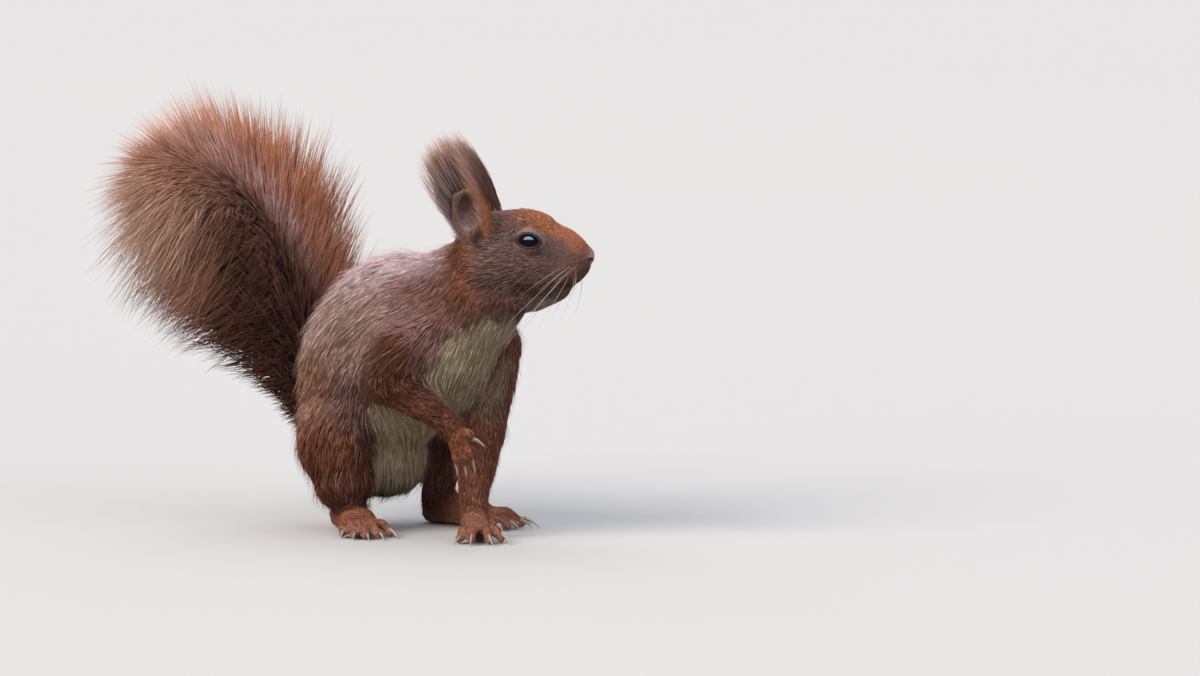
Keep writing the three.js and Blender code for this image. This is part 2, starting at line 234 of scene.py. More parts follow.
def ripple(points_mm, size_mm, seed):
    """Smooth noise from -1 to 1 whose patches are about size_mm across."""
    rng = np.random.default_rng(seed)
    total = np.zeros(len(points_mm))
    waves = 7
    for _ in range(waves):
        direction = unit(rng.normal(size=3))
        pitch = size_mm * rng.uniform(1.6, 3.2)
        total += np.sin(points_mm @ direction * 2 * math.pi / pitch + rng.uniform(0, 2 * math.pi))
    return np.clip(total / math.sqrt(waves), -1.5, 1.5) / 1.5


def along_path(path, points):
    """Nearest place on a path of points: its distance and how far along it lies, in stations."""
    path, points = np.asarray(path, float), np.asarray(points)
    best = np.full(len(points), 1e9)
    place = np.zeros(len(points))
    for i in range(len(path) - 1):
        step = path[i + 1] - path[i]
        share = np.clip((points - path[i]) @ step / (step @ step), 0, 1)
        distance = np.linalg.norm(points - path[i] - share[:, None] * step, axis=1)
        nearer = distance < best
        best[nearer] = distance[nearer]
        place[nearer] = (i + share)[nearer]
    return best, place


def store_float(mesh, key, values):
    """Keeps a value of each point as an attribute that materials read."""
    layer = mesh.attributes.new(key, "FLOAT", "POINT")
    layer.data.foreach_set("value", np.ascontiguousarray(values, np.float32))


def mesh_piece(name, co, triangles, material, floats, uv=None):
    """A mesh object from arrays, with float attributes on its points and a UV map for the bake."""
    mesh = bpy.data.meshes.new(name)
    mesh.vertices.add(len(co))
    mesh.vertices.foreach_set("co", np.ascontiguousarray(co, np.float32).ravel())
    mesh.loops.add(len(triangles) * 3)
    mesh.loops.foreach_set("vertex_index", np.ascontiguousarray(triangles, np.int32).ravel())
    mesh.polygons.add(len(triangles))
    mesh.polygons.foreach_set("loop_start", np.arange(0, 3 * len(triangles), 3, dtype=np.int32))
    mesh.update(calc_edges=True)
    mesh.shade_smooth()
    for key, values in floats.items():
        store_float(mesh, key, values)
    if uv is not None:
        layer = mesh.uv_layers.new(name="OFBake")
        layer.uv.foreach_set("vector", np.ascontiguousarray(uv[triangles.ravel()], np.float32).ravel())
    mesh.materials.append(material)
    obj = bpy.data.objects.new(name, mesh)
    bpy.context.scene.collection.objects.link(obj)
    return obj


def finish_piece(obj, slot, *nodes):
    """Says what carries a piece and which solids it replaces; its slot is not used."""
    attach(obj, "root")
    if nodes:
        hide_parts(*nodes)


# ---------- the head's own landmarks, in millimetres forward, left and up of the skull ----------

EYE_RADIUS_MM = 4.9
GAZE = unit(np.array([0.12, 0.94, 0.20]))  # the way an eye looks, on the left side of the head
EYE_HALF_LONG_MM, EYE_HALF_HIGH_MM = 3.9, 2.5
EYE_TILT = math.radians(6)  # the front corner lies lower
EYE_ARCH = 0.10  # the upper lid arches higher than the lower one sags
EYE_CORNER = 1.78  # 2 would be an ellipse; less draws the corners out
EYE_CENTRE_MM = np.array([EYE_FORWARD_MM, abs(to_head_mm(LEFT_EYE)[1]), EYE_UP_MM])
BESIDE_MM = 4.0  # what lies nearer to the head's middle plane is no part of an eye's surroundings
RING_BEHIND = 9.0  # ring number of whatever lies behind the eye
LID_RIM_MM = 0.30  # radius of the moist edge of the lids
LID_LIFT_MM = 0.12  # how far that edge stands off the eyeball
LID_COVER_MM = 0.35  # least thickness of a lid over the eyeball
LID_EDGE_RING = 1.1  # ring number from which a lid has that thickness
SOCKET_MM = 5.5  # radius of the hole round the eyeball
LID_REACH_MM = 9.4  # how far out the lids are drawn from
NOSE_TIP_MM = np.array([27.6, 0.0, -0.2])
NOSE_RADII = [3.4, 3.0, 3.4]
NOSTRIL_MM = np.array([26.8, 2.1, -1.0])
WHISKER_PAD_MM, WHISKER_PAD_RADII = [20.5, 5.2, -6.2], [5.5, 3.5, 4.0]
MUZZLE_MM, MUZZLE_RADII = [24, 0, -6], [7, 9, 8]
MOUTH_MM = [[22.4, 0.0, -10.4], [21.0, 2.8, -10.7], [18.5, 5.4, -10.7], [15.4, 7.3, -10.2], [13.6, 8.2, -9.6]]
BROW_MM = [[-14, 12.6], [-5, 12.6], [4, 12.0], [12, 8.9], [20, 4.4], [26, 1.4]]  # where cheek meets crown
EAR_HOLLOW_MM, EAR_HOLLOW_RADII = [-16.7, 17.6, 17.0], [5.6, 6.0, 8.2]
EAR_BACK_MM = 22.0  # how far behind the middle of the skull the bare ear ends
EAR_NOTCH_MM = [[-14.4, 15.5, 10.6], [-12.2, 15.0, 6.2]]
NECK_PATCH_MM = [[-22.5, 9.5, 5], [-19.5, 11.5, -2.5], [-17, 14, -9]]  # rusty hair behind the ear


def eye_axes():
    """The long and the high axis of the left eye's opening."""
    long_axis = unit(np.cross([0, 0, 1], GAZE))
    high_axis = np.cross(GAZE, long_axis)
    cos, sin = math.cos(EYE_TILT), math.sin(EYE_TILT)
    return cos * long_axis + sin * high_axis, cos * high_axis - sin * long_axis


EYE_LONG, EYE_HIGH = eye_axes()


def left_side(head_mm):
    """The same places on the left half of the head."""
    return np.stack([head_mm[:, 0], np.abs(head_mm[:, 1]), head_mm[:, 2]], 1)


def half_height(across):
    """Half height of the eye's opening, above its long axis and below it."""
    return EYE_HALF_HIGH_MM * np.where(across > 0, 1 + EYE_ARCH, 1 - EYE_ARCH)


def eye_space(head_mm):
    """For each point: distances along, across and out of the opening of its own side's eye, and its
    ring number, 1 on the edge of the opening."""
    from_eye = left_side(head_mm) - EYE_CENTRE_MM
    along, across, out = from_eye @ EYE_LONG, from_eye @ EYE_HIGH, from_eye @ GAZE
    wide = np.abs(along / EYE_HALF_LONG_MM) ** EYE_CORNER
    high = np.abs(across / half_height(across)) ** EYE_CORNER
    ring = (wide + high) ** (1 / EYE_CORNER)
    return along, across, out, np.where(out > 0, ring, RING_BEHIND)


def ear_hollow(head_mm):
    """How far each point is inside the ear's hollow: 1 inside, 0 on the rim and behind."""
    from_centre = left_side(head_mm) - EAR_HOLLOW_MM
    return smoothstep(1.12, 0.86, np.linalg.norm(from_centre / EAR_HOLLOW_RADII, axis=1))


# ---------- markings, shared by skin and coat ----------

# The white front, from throat to groin: place and half width, millimetres on the maker's axes.
FRONT_MM = [
    [48, -41, 84, 6],
    [39, -44, 79, 10],
    [31, -44, 72, 12],
    [24, -38, 60, 13.5],
    [16, -30, 47, 14.5],
    [3, -17, 34, 15],
    [0, -14, 22, 12],
    [-2, -8, 12, 7],
]
FLANK_MM = [[2, -26, 40, 11], [-4, -29, 45, 9], [-7.5, -30.5, 49, 5]]  # it reaches back below the lifted arm
ARM_SHADE_MM = [[1, -45, 72], [-2, -45, 64], [-3, -45, 57]]  # painted shade over the lifted arm's elbow
INWARD = np.array([0.30, 0.95, 0.0])  # from the right arm towards the left one
THROAT_MM = [42, -50, 89]  # painted shade where the throat meets the cheek
FROST_AND_SHEEN_WAY = unit(np.array([-0.60, 0.35, 0.72]))  # the way the top of the back faces, where frosted hair carries a painted sheen of sky light

# Each part's share of the zones, before the markings are laid over it.
PART_COLOURS = {
    "head": {"umber": 0.25},
    "neck": {"lilac": 0.12, "red": 0.12, "dark": 0.06},
    "trunk": {"lilac": 0.24},
    "right_ear": {"umber": 0.6},
    "left_ear": {"umber": 0.6},
    # The right arm's large dark shares are partly its own dark hair and partly painted shade.
    "right_upper_arm": {"red": 0.40, "dark": 0.62},
    "left_upper_arm": {"red": 0.45, "umber": 0.2, "dark": 0.06},
    "right_forearm": {"red": 0.55, "dark": 0.42},
    "left_forearm": {"red": 0.50, "umber": 0.2, "dark": 0.05},
    "right_thigh": {"red": 0.75, "dark": 0.02},
    "left_thigh": {"red": 0.25, "dark": 0.10},
    "right_shin": {"red": 0.25, "dark": 0.22},
    "left_shin": {"red": 0.2, "dark": 0.3},
    "right_hind_foot": {"red": 0.85, "pale": 0.08},
    "left_hind_foot": {"red": 0.8, "pale": 0.1},
    "left_fore_foot": {"red": 0.75, "pale": 0.12},
    "right_fore_foot": {"red": 0.9},
    "tail": {"dark": 0.85},
}


class Places:
    """Where each point of the skin is: its part, and its place on the maker's and on the head's axes."""

    def __init__(self, mesh, parts):
        self.mesh, self.parts, self.net = mesh, parts, Net(mesh)
        co = points_of(mesh)
        self.normal = normals_of(mesh)
        self.p, self.h = to_mm(co), to_head_mm(co)
        self.x, self.z = self.p[:, 0], self.p[:, 2]
        self.mirrored = left_side(self.h)
        self.forward, self.side, self.up = self.mirrored.T
        self.wobble, self.patch = ripple(self.p, 3.0, 11), ripple(self.p, 9.0, 12)
        self.in_head, self.in_ear, self.in_foot = self.on(*HEAD), self.on(*EARS), self.on(*FEET)
        self.in_trunk = self.on("trunk", "neck")
        self.in_arm, self.in_thigh = self.on(*ARMS), self.on("right_thigh", "left_thigh")
        elsewhere = self.in_head | self.in_ear | self.in_foot | self.on("tail")
        self.body = self.net.spread(np.where(elsewhere, 0.0, 1.0), 25)

    def on(self, *names):
        """Which points belong to these parts."""
        return np.isin(self.parts, names)


# In each of these functions smoothstep fades a colour in between two distances in millimetres, or
# between two shares, and the first factor is how much of the colour there is at most.


def mark_back(at, zones):
    """Lilac along the top and down to the haunch: frosted winter hair, and where it faces up and back a
    painted sheen of sky light.
    """
    upward = at.net.spread(at.normal, 30) @ FROST_AND_SHEEN_WAY
    # Painted sheen of sky light over the frosted hair, strongest where the back faces up and back.
    frost_and_sheen = smoothstep(0.22, 0.80, upward + 0.06 * at.patch) * smoothstep(34, 58, at.z)
    zones["lilac"] = np.maximum(zones["lilac"], at.body * (0.95 * frost_and_sheen)) + 0.08 * at.body * at.patch


def mark_haunch(at, zones):
    """Olive brown and dark in the fold between flank and haunch, a painted shade; rusty above on the haunch,
    lightened there and on the flank by painted light; darker below, a painted shade.
    """
    thigh = at.net.spread(at.in_thigh.astype(float), 150)
    fold = 4 * thigh * (1 - thigh) * np.where(at.in_trunk | at.in_thigh, 1.0, 0.0)
    # Painted shade in the fold: olive brown, and dark towards the front.
    olive = 0.8 * fold * smoothstep(12, 30, at.z) * smoothstep(-30, -20, at.x)
    zones["umber"] = np.maximum(zones["umber"], olive)
    zones["dark"] += 0.25 * fold * smoothstep(-24, -10, at.x)
    # Rusty hair on the top of the haunch, with pale laid on as painted light.
    behind = smoothstep(-17, -31, at.x) * smoothstep(36, 52, at.z) * smoothstep(79, 65, at.z)
    zones["lilac"] *= 1 - 0.9 * behind
    zones["orange"] += 0.70 * at.body * behind
    zones["pale"] += 0.52 * at.body * behind
    # Painted shade low on the haunch and the right shin.
    haunch = np.maximum(thigh, np.where(at.on("right_shin"), 1, 0))
    zones["dark"] += 0.34 * haunch * smoothstep(44, 24, at.z)
    # Painted light on the flank: lilac and pale.
    flank = smoothstep(8, -10, at.x) * smoothstep(58, 70, at.z) * smoothstep(102, 88, at.z)
    flank *= 1 - behind
    zones["lilac"] += 0.34 * at.body * flank
    zones["pale"] += 0.60 * at.body * flank


def mark_shoulder(at, zones):
    """Browner patches, and painted shade where the arm leaves the body and over the lifted elbow."""
    zones["umber"] += 0.16 * at.body * smoothstep(0.2, 1.0, ripple(at.p, 7.0, 14))
    # Painted shade in the crease where the arm leaves the body.
    armpit = at.net.spread(at.in_arm.astype(float), 60)
    beside = np.where(at.in_trunk | at.in_arm, 1, 0)
    zones["dark"] += 0.4 * armpit * (1 - armpit) * beside * smoothstep(62, 50, at.z)
    # Painted shade over the lifted elbow: dark red in place of the lighter zones.
    to_arm = along_path(ARM_SHADE_MM, at.p)[0]
    arm_shade = at.body * smoothstep(13, 4, to_arm + 2 * at.wobble)
    for zone in ("lilac", "umber", "pale"):
        zones[zone] *= 1 - arm_shade
    zones["dark"] = np.maximum(zones["dark"], 0.62 * arm_shade)
    zones["red"] = np.maximum(zones["red"], 0.6 * arm_shade)


def mark_face(at, zones):
    """Rusty crown and bridge of the nose, grey-brown sides, painted shade on the lower cheeks and where the
    throat meets them, a pale chin.
    """
    brow = np.interp(at.forward, *np.transpose(BROW_MM))
    crown = smoothstep(-2.4, 2.4, at.up - brow + 1.2 * at.wobble)
    face = smoothstep(-17, -8, at.forward + at.wobble)
    umber = 0.95 * face * (1 - crown) + 0.35 * (1 - face)
    zones["umber"] = np.where(at.in_head, umber, zones["umber"])
    orange = (0.22 + 0.48 * smoothstep(-2, 12, at.forward)) * crown
    zones["orange"] = np.where(at.in_head, orange, zones["orange"])
    zones["lilac"] += np.where(at.in_head, 0.42 * crown * smoothstep(6, -6, at.forward), 0)
    # Painted shade on the lower cheeks.
    cheek = smoothstep(-1, -11, at.up) * smoothstep(12, 3, at.forward) * smoothstep(-20, -8, at.forward)
    zones["dark"] += np.where(at.in_head, 0.60 * cheek, 0)
    # Painted shade where the throat meets the cheek.
    throat = smoothstep(14, 5, np.linalg.norm((at.p - THROAT_MM) * [1, 0.6, 1], axis=1))
    zones["dark"] += 0.55 * np.where(at.on("neck"), throat, 0)
    muzzle = smoothstep(13, 21, at.forward) * smoothstep(3, -3, at.up)
    zones["red"] = np.where(at.in_head, 0.30 * muzzle, zones["red"])
    zones["dark"] += np.where(at.in_head, 0.12 * muzzle, 0)
    to_patch = along_path(NECK_PATCH_MM, at.mirrored)[0]
    rusty = np.where(at.in_head | at.in_trunk, 0.75 * smoothstep(8, 3, to_patch + 1.6 * at.wobble), 0)
    zones["orange"] = np.maximum(zones["orange"], rusty)
    zones["dark"] += 0.56 * rusty
    chin = smoothstep(-12.5, -18.0, at.up + 0.8 * at.wobble)
    chin *= smoothstep(22, 12, at.forward) * smoothstep(-4, 4, at.forward)
    zones["cream"] = np.where(at.in_head, 0.75 * chin, zones["cream"])


def mark_front(at, zones):
    """White from throat to groin and on the inner sides of the arms, darker at its edges, and darkened low
    down by painted shade.
    """
    beyond = np.full(len(at.p), np.inf)
    for stations in (np.array(FRONT_MM), np.array(FLANK_MM)):
        distance, place = along_path(stations[:, :3], at.p)
        width = np.interp(place, np.arange(len(stations)), stations[:, 3])
        beyond = np.minimum(beyond, distance - width)
    fringe = np.where(at.in_trunk, smoothstep(8, 1, np.abs(beyond - 3.0)), 0)
    zones["dark"] += 0.16 * fringe * smoothstep(88, 60, at.z)
    white = np.where(at.in_trunk, smoothstep(2.2, -1.6, beyond + 1.6 * at.wobble), 0)
    zones["cream"] = np.maximum(zones["cream"], white)
    for zone in ("dark", "pale"):
        zones[zone] *= 1 - white
    inward = at.net.spread(at.normal, 6) @ INWARD
    for names, way in ((["left_upper_arm"], -1), (["right_upper_arm", "right_forearm"], 1)):
        inner = smoothstep(0.15, 0.85, way * inward)
        pale_hair = at.net.spread(0.75 * inner * at.on(*names) * smoothstep(44, 60, at.z), 30)
        zones["cream"] = np.maximum(zones["cream"], pale_hair)
    # Painted shade low on the white belly.
    zones["dark"] += 0.40 * (smoothstep(32, 14, at.z) * white)


def mark_ears(at, zones):
    """A hollow darkened by painted shade, most of all high up, with a pale rim, rusty in front, and painted
    shade in the notch below.
    """
    hollow = ear_hollow(at.h)
    rim = smoothstep(0.05, 0.35, hollow) * smoothstep(0.75, 0.45, hollow)
    front = smoothstep(-13.5, -10.5, at.forward + 0.40 * (at.up - 8)) * (1 - hollow)
    # The hollow is darkened by painted shade, most of all high up.
    own = {
        "umber": 0.75,
        "dark": (0.25 + 0.40 * smoothstep(15, 21, at.up)) * hollow + 0.15 * front,
        "orange": 0.72 * front,
        "pale": 0.55 * rim * (1 - 0.6 * front),
    }
    for zone, value in own.items():
        zones[zone] = np.where(at.in_ear, value, zones[zone])
    # Painted shade in the notch at the ear's opening.
    to_notch = along_path(EAR_NOTCH_MM, at.mirrored)[0]
    zones["dark"] += np.where(at.in_ear | at.in_head, 0.75 * smoothstep(3.4, 1.2, to_notch), 0)


def mark_eyes(at, zones):
    """A dark edge, and round it a pale ring that is wider above."""
    _, across, _, ring = eye_space(at.h)
    outer = 1.56 + 0.24 * np.clip(across / 3, -1, 1)
    pale_ring = smoothstep(1.26, 1.38, ring) * smoothstep(outer + 0.22, outer - 0.1, ring + 0.06 * at.wobble)
    near = at.in_head & (at.side > 5)
    own = {"pale": 0.40 * pale_ring, "lilac": 0.8 * pale_ring, "dark": smoothstep(1.34, 1.24, ring)}
    for zone, value in own.items():
        zones[zone] = np.maximum(zones[zone], np.where(near, value, 0))


def mark_nose_and_mouth(at, zones):
    """Painted shade between the lips and in the nostrils; the bare nose is fleshy."""
    to_mouth = along_path(MOUTH_MM, at.mirrored)[0]
    # Painted shade in the line of the mouth.
    zones["dark"] += np.where(at.in_head, 0.95 * smoothstep(1.25, 0.6, to_mouth), 0)
    to_nose = np.linalg.norm((at.h - NOSE_TIP_MM) / NOSE_RADII, axis=1)
    zones["flesh"] = np.where(at.in_head, smoothstep(1.30, 0.75, to_nose), zones["flesh"])
    # Painted shade in the nostrils.
    to_nostril = np.linalg.norm((at.mirrored - NOSTRIL_MM) / [1.5, 1.4, 0.9], axis=1)
    nostril = np.where(at.in_head, 0.9 * smoothstep(1.2, 0.7, to_nostril), 0)
    zones["dark"] = np.maximum(zones["dark"], nostril)
    zones["flesh"] *= 1 - nostril


def mark_feet(at, zones):
    """Fleshy below and at the toes' ends, painted shade between the toes."""
    for foot in FEET:
        of_foot = at.on(foot)
        apart = np.min([along_path(line, at.p)[0] for line in toe_lines(foot)], axis=0)
        # Painted shade in the grooves between the toes.
        zones["dark"] += np.where(of_foot, 0.40 * smoothstep(1.3, 0.4, apart), 0)
        claws = [to_mm(centre_of(n)) for n in claws_of(foot)]
        to_claw = np.min([np.linalg.norm(at.p - c, axis=1) for c in claws], axis=0)
        toe_end = np.where(of_foot, 0.45 * smoothstep(7.5, 3, to_claw), 0)
        zones["flesh"] = np.maximum(zones["flesh"], toe_end)
    standing = at.in_foot & ~at.on("right_fore_foot")
    sole = np.where(standing, 0.8 * smoothstep(4.6, 1.8, at.z + 0.5 * at.wobble), 0)
    zones["flesh"] = np.maximum(zones["flesh"], sole)


MARKS = [
    mark_back,
    mark_haunch,
    mark_shoulder,
    mark_face,
    mark_front,
    mark_ears,
    mark_eyes,
    mark_nose_and_mouth,
    mark_feet,
]


def markings(mesh, parts):
    """How much of each zone's colour each point of the skin has, from its place and part."""
    at = Places(mesh, parts)
    zones = {}
    for zone in ZONES:
        own = np.array([PART_COLOURS.get(n, {}).get(zone, 0.0) for n in parts])
        zones[zone] = at.net.spread(own, 60)
    for mark in MARKS:
        mark(at, zones)
    return {name: np.clip(value, 0, 1) for name, value in zones.items()}


# ---------- skin ----------

GAP_MM = 0.3  # solids are grown by this before they are joined, to close the gaps between them
GROOVE_MM = 0.9  # depth of the grooves between the toes
LID_FRONT_MM = 9.0  # how far out of an eye's middle its lids may reach
LIE_STARTS_MM = [29, 0, -2]  # where the lie of the head's hair starts, at the nose
TAIL_START = 0.7  # station of the tail's core where the skin becomes the tail's

# The bone and flesh of the tail inside its brush: place and radius, millimetres on the maker's axes.
TAIL_CORE_MM = [
    [-19, 17, 27, 6.5],
    [-27, 25, 31, 5.2],
    [-33, 30, 49, 4.4],
    [-38, 32, 70, 4.1],
    [-43, 33.5, 90, 3.8],
    [-50, 35, 106, 3.4],
    [-60, 36, 118, 3.0],
    [-72, 37, 124.5, 2.6],
    [-84, 38, 127.5, 2.0],
]

# The lie of the fur on parts that keep one direction, on the maker's axes.
LIE = {
    "right_forearm": [0.90, -0.25, -0.36],
    "left_upper_arm": [-0.20, 0.1, -1.0],
    "left_forearm": [-0.15, -0.4, -0.9],
    "left_thigh": [-0.1, 0.0, -0.98],
    "right_shin": [0.0, -0.25, -0.95],
    "left_shin": [0.1, 0.0, -0.98],
    "right_hind_foot": [0.22, -0.95, -0.2],
    "left_hind_foot": [0.8, -0.6, -0.2],
    "left_fore_foot": [0.12, -0.97, -0.25],
    "right_fore_foot": [0.2, -0.15, -0.97],
}

# The rest of the body, where it turns from place to place: across and up in mm, and the angle of the
# lie in the upright plane seen from the right side, in degrees from forward.
FLOWING = ["neck", "trunk", "right_upper_arm", "right_thigh"]
FLOW_MM = [
    [18, 100, 255],
    [26, 88, 245],
    [11, 93, 205],
    [-4, 97, 196],
    [-19, 87, 218],
    [-28, 73, 236],
    [-33, 62, 246],
    [4, 84, 203],
    [0, 73, 214],
    [-12, 68, 226],
    [-19, 55, 238],
    [-22, 44, 255],
    [-5, 60, 250],
    [-4, 53, 300],
    [8, 58, 285],
    [16, 74, 240],
    [22, 62, 250],
    [-37, 52, 250],
    [-28, 40, 262],
    [-26, 22, 262],
    [-35, 22, 250],
    [-14, 33, 276],
    [2, 33, 270],
    [30, 68, 255],
]


def flow(p):
    """Direction of the lie at places on the body, blended from the nearest entries of the table."""
    table = np.array(FLOW_MM, float)
    apart = (p[:, None, [0, 2]] - table[None, :, :2]) ** 2
    weight = 1 / (apart.sum(2) + 20) ** 2
    angle = np.radians(table[:, 2])
    way = np.zeros_like(p)
    way[:, 0] = weight @ np.cos(angle)
    way[:, 2] = weight @ np.sin(angle)
    return unit(way)


# How the skin of each part is made from its solid: rounds of smoothing, and depth below it in mm.
FINISH = {
    "head": (8, 1.3),
    "nose": (3, 0.0),
    "neck": (26, 2.4),
    "trunk": (44, 3.0),
    "right_ear": (4, 0.7),
    "left_ear": (4, 0.7),
    "right_upper_arm": (66, 2.2),
    "left_upper_arm": (46, 1.8),
    "right_forearm": (16, 1.4),
    "left_forearm": (14, 1.3),
    "right_thigh": (26, 2.8),
    "left_thigh": (26, 2.6),
    "right_shin": (12, 1.8),
    "left_shin": (9, 1.4),
    "right_hind_foot": (2, 0.3),
    "left_hind_foot": (2, 0.3),
    "left_fore_foot": (2, 0.3),
    "right_fore_foot": (2, 0.3),
    "tail": (5, 0.0),
}
PARTS = list(FINISH)


class Net:
    """Which points of a mesh are neighbours, for smoothing any value over it."""

    def __init__(self, mesh):
        edges = np.empty(len(mesh.edges) * 2, np.int32)
        mesh.edges.foreach_get("vertices", edges)
        edges = edges.reshape(-1, 2)
        source = np.concatenate([edges[:, 0], edges[:, 1]])
        target = np.concatenate([edges[:, 1], edges[:, 0]])
        order = np.argsort(source, kind="stable")
        self.target = target[order]
        self.count = np.bincount(source, minlength=len(mesh.vertices))
        self.first = np.concatenate([[0], np.cumsum(self.count)[:-1]])

    def mean(self, values):
        """The mean of each point's neighbours."""
        total = np.add.reduceat(values[self.target], self.first, axis=0)
        return total / self.count.reshape([-1] + [1] * (values.ndim - 1))

    def spread(self, values, rounds):
        """Values smoothed over the mesh."""
        for _ in range(rounds):
            values = 0.5 * values + 0.5 * self.mean(values)
        return values


def points_of(mesh):
    """Places of a mesh's points as an array."""
    co = np.empty(len(mesh.vertices) * 3, np.float32)
    mesh.vertices.foreach_get("co", co)
    return co.reshape(-1, 3).astype(float)


def normals_of(mesh):
    """Which way a mesh faces at each of its points."""
    values = np.empty(len(mesh.vertices) * 3, np.float32)
    mesh.vertex_normals.foreach_get("vector", values)
    return values.reshape(-1, 3).astype(float)


def set_points(mesh, co):
    """Moves a mesh's points to the places of an array."""
    mesh.vertices.foreach_set("co", co.astype(np.float32).ravel())
    mesh.update()


def claws_of(foot):
    """The claw solids of a foot, in the order of its toes."""
    return sorted(n for n in CLAWS if n.startswith(foot.removesuffix("_foot")))


def part_finder(names):
    """A function that gives the nearest CAD part of each point."""
    points, triangles, owner = [], [], []
    for name in names:
        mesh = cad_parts[name].data
        start = len(points)
        points += [v.co.copy() for v in mesh.vertices]
        for polygon in mesh.polygons:
            triangles.append([start + i for i in polygon.vertices])
            owner.append(name)
    tree = BVHTree.FromPolygons(points, triangles)
    core = from_mm(np.array(TAIL_CORE_MM)[:, :3])
    reach = np.array(TAIL_CORE_MM)[:, 3] * MM

    def find(co):
        hits = [tree.find_nearest(Vector(p)) for p in co]
        found = np.array([owner[h[2]] for h in hits], dtype=object)
        distance = np.array([h[3] for h in hits])
        from_core, place = along_path(core, co)
        nearer = from_core - np.interp(place, np.arange(len(core)), reach) < distance
        found[nearer & (place > TAIL_START)] = "tail"
        return found

    return find


def tail_core():
    """The tail's flesh as a tube: a circle carried along its path."""
    stations = np.array(TAIL_CORE_MM)
    curve = bpy.data.curves.new("tail_core", "CURVE")
    curve.dimensions = "3D"
    spline = curve.splines.new("NURBS")
    spline.points.add(len(stations) - 1)
    for point, (x, y, z, radius) in zip(spline.points, stations):
        point.co = (*from_mm([x, y, z]), 1)
        point.radius = radius
    spline.use_endpoint_u = True
    spline.order_u = 4
    curve.bevel_depth = MM
    curve.bevel_resolution = 3
    curve.use_fill_caps = True
    obj = bpy.data.objects.new("tail_core", curve)
    bpy.context.scene.collection.objects.link(obj)
    only(obj)
    bpy.ops.object.convert(target="MESH")
    return bpy.context.active_object


def join_solids(name, nodes, others=()):
    """Copies of solids, and other objects, as one mesh that is grown over the gaps between them."""
    copies = list(others)
    for node in nodes:
        copy = bpy.data.objects.new("copy_" + node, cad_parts[node].data.copy())
        copy.data.materials.clear()
        bpy.context.scene.collection.objects.link(copy)
        copies.append(copy)
    only(copies[0])
    for copy in copies:
        copy.select_set(True)
    bpy.ops.object.join()
    whole = bpy.context.active_object
    whole.name = whole.data.name = name
    bpy.ops.object.mode_set(mode="EDIT")
    bpy.ops.mesh.select_all(action="SELECT")
    bpy.ops.mesh.remove_doubles(threshold=0.01 * MM)
    bpy.ops.object.mode_set(mode="OBJECT")
    set_points(whole.data, points_of(whole.data) + GAP_MM * MM * normals_of(whole.data))
    return whole


def remesh(obj, spacing):
    """One closed surface round everything in the mesh."""
    modifier = obj.modifiers.new("one surface", "REMESH")
    modifier.mode = "VOXEL"
    modifier.voxel_size = spacing
    bpy.ops.object.modifier_apply(modifier=modifier.name)


def refine(obj, chosen):
    """Halves the faces whose points are all chosen."""
    bm = bmesh.new()
    bm.from_mesh(obj.data)
    bm.verts.ensure_lookup_table()
    edges = [e for e in bm.edges if chosen[e.verts[0].index] and chosen[e.verts[1].index]]
    bmesh.ops.subdivide_edges(bm, edges=edges, cuts=1, use_grid_fill=True)
    bmesh.ops.triangulate(bm, faces=[face for face in bm.faces if len(face.verts) > 4])
    bm.to_mesh(obj.data)
    bm.free()


def relax(mesh, rounds):
    """Smooths each point by its own number of rounds, or all by one number."""
    net, co = Net(mesh), points_of(mesh)
    rounds = np.broadcast_to(rounds, len(co))
    for i in range(math.ceil(rounds.max())):
        share = np.clip(rounds - i, 0, 1)[:, None] * 0.5
        co += share * (net.mean(co) - co)
    set_points(mesh, co)


def smooth_keeping_volume(mesh, rounds):
    """Smooths away facets and seams, then swells the skin back to the bulk it had."""
    before = points_of(mesh)
    relax(mesh, rounds)
    normal = normals_of(mesh)
    lost = Net(mesh).spread(((before - points_of(mesh)) * normal).sum(1), 30)
    set_points(mesh, points_of(mesh) + lost[:, None] * normal)


def sink_below_the_coat(mesh, parts):
    """Rounds off the solids and lowers their surface by the depth of each part's coat."""
    net = Net(mesh)
    smooth_keeping_volume(mesh, net.spread(np.array([float(FINISH[n][0]) for n in parts]), 16))
    depth = np.array([FINISH[n][1] for n in parts]) * shortening(points_of(mesh), parts) * MM
    depth = net.spread(depth, 24)
    set_points(mesh, points_of(mesh) - depth[:, None] * normals_of(mesh))
    relax(mesh, 2)


def refine_head_and_feet(obj, parts):
    """Halves the mesh on the head and feet, and once more round the eyes and on the muzzle."""
    refine(obj, np.isin(parts, HEAD + EARS + FEET))
    h = to_head_mm(points_of(obj.data))
    along, across, out, _ = eye_space(h)
    finest = (np.hypot(along, across) < LID_REACH_MM) & (out > 0) & (np.abs(h[:, 1]) > BESIDE_MM)
    finest |= np.linalg.norm((h - MUZZLE_MM) / MUZZLE_RADII, axis=1) < 1
    refine(obj, finest)
    relax(obj.data, 2)


def hump(value, middle, width):
    """A soft ridge, 1 in its middle."""
    return np.exp(-(((value - middle) / width) ** 2))


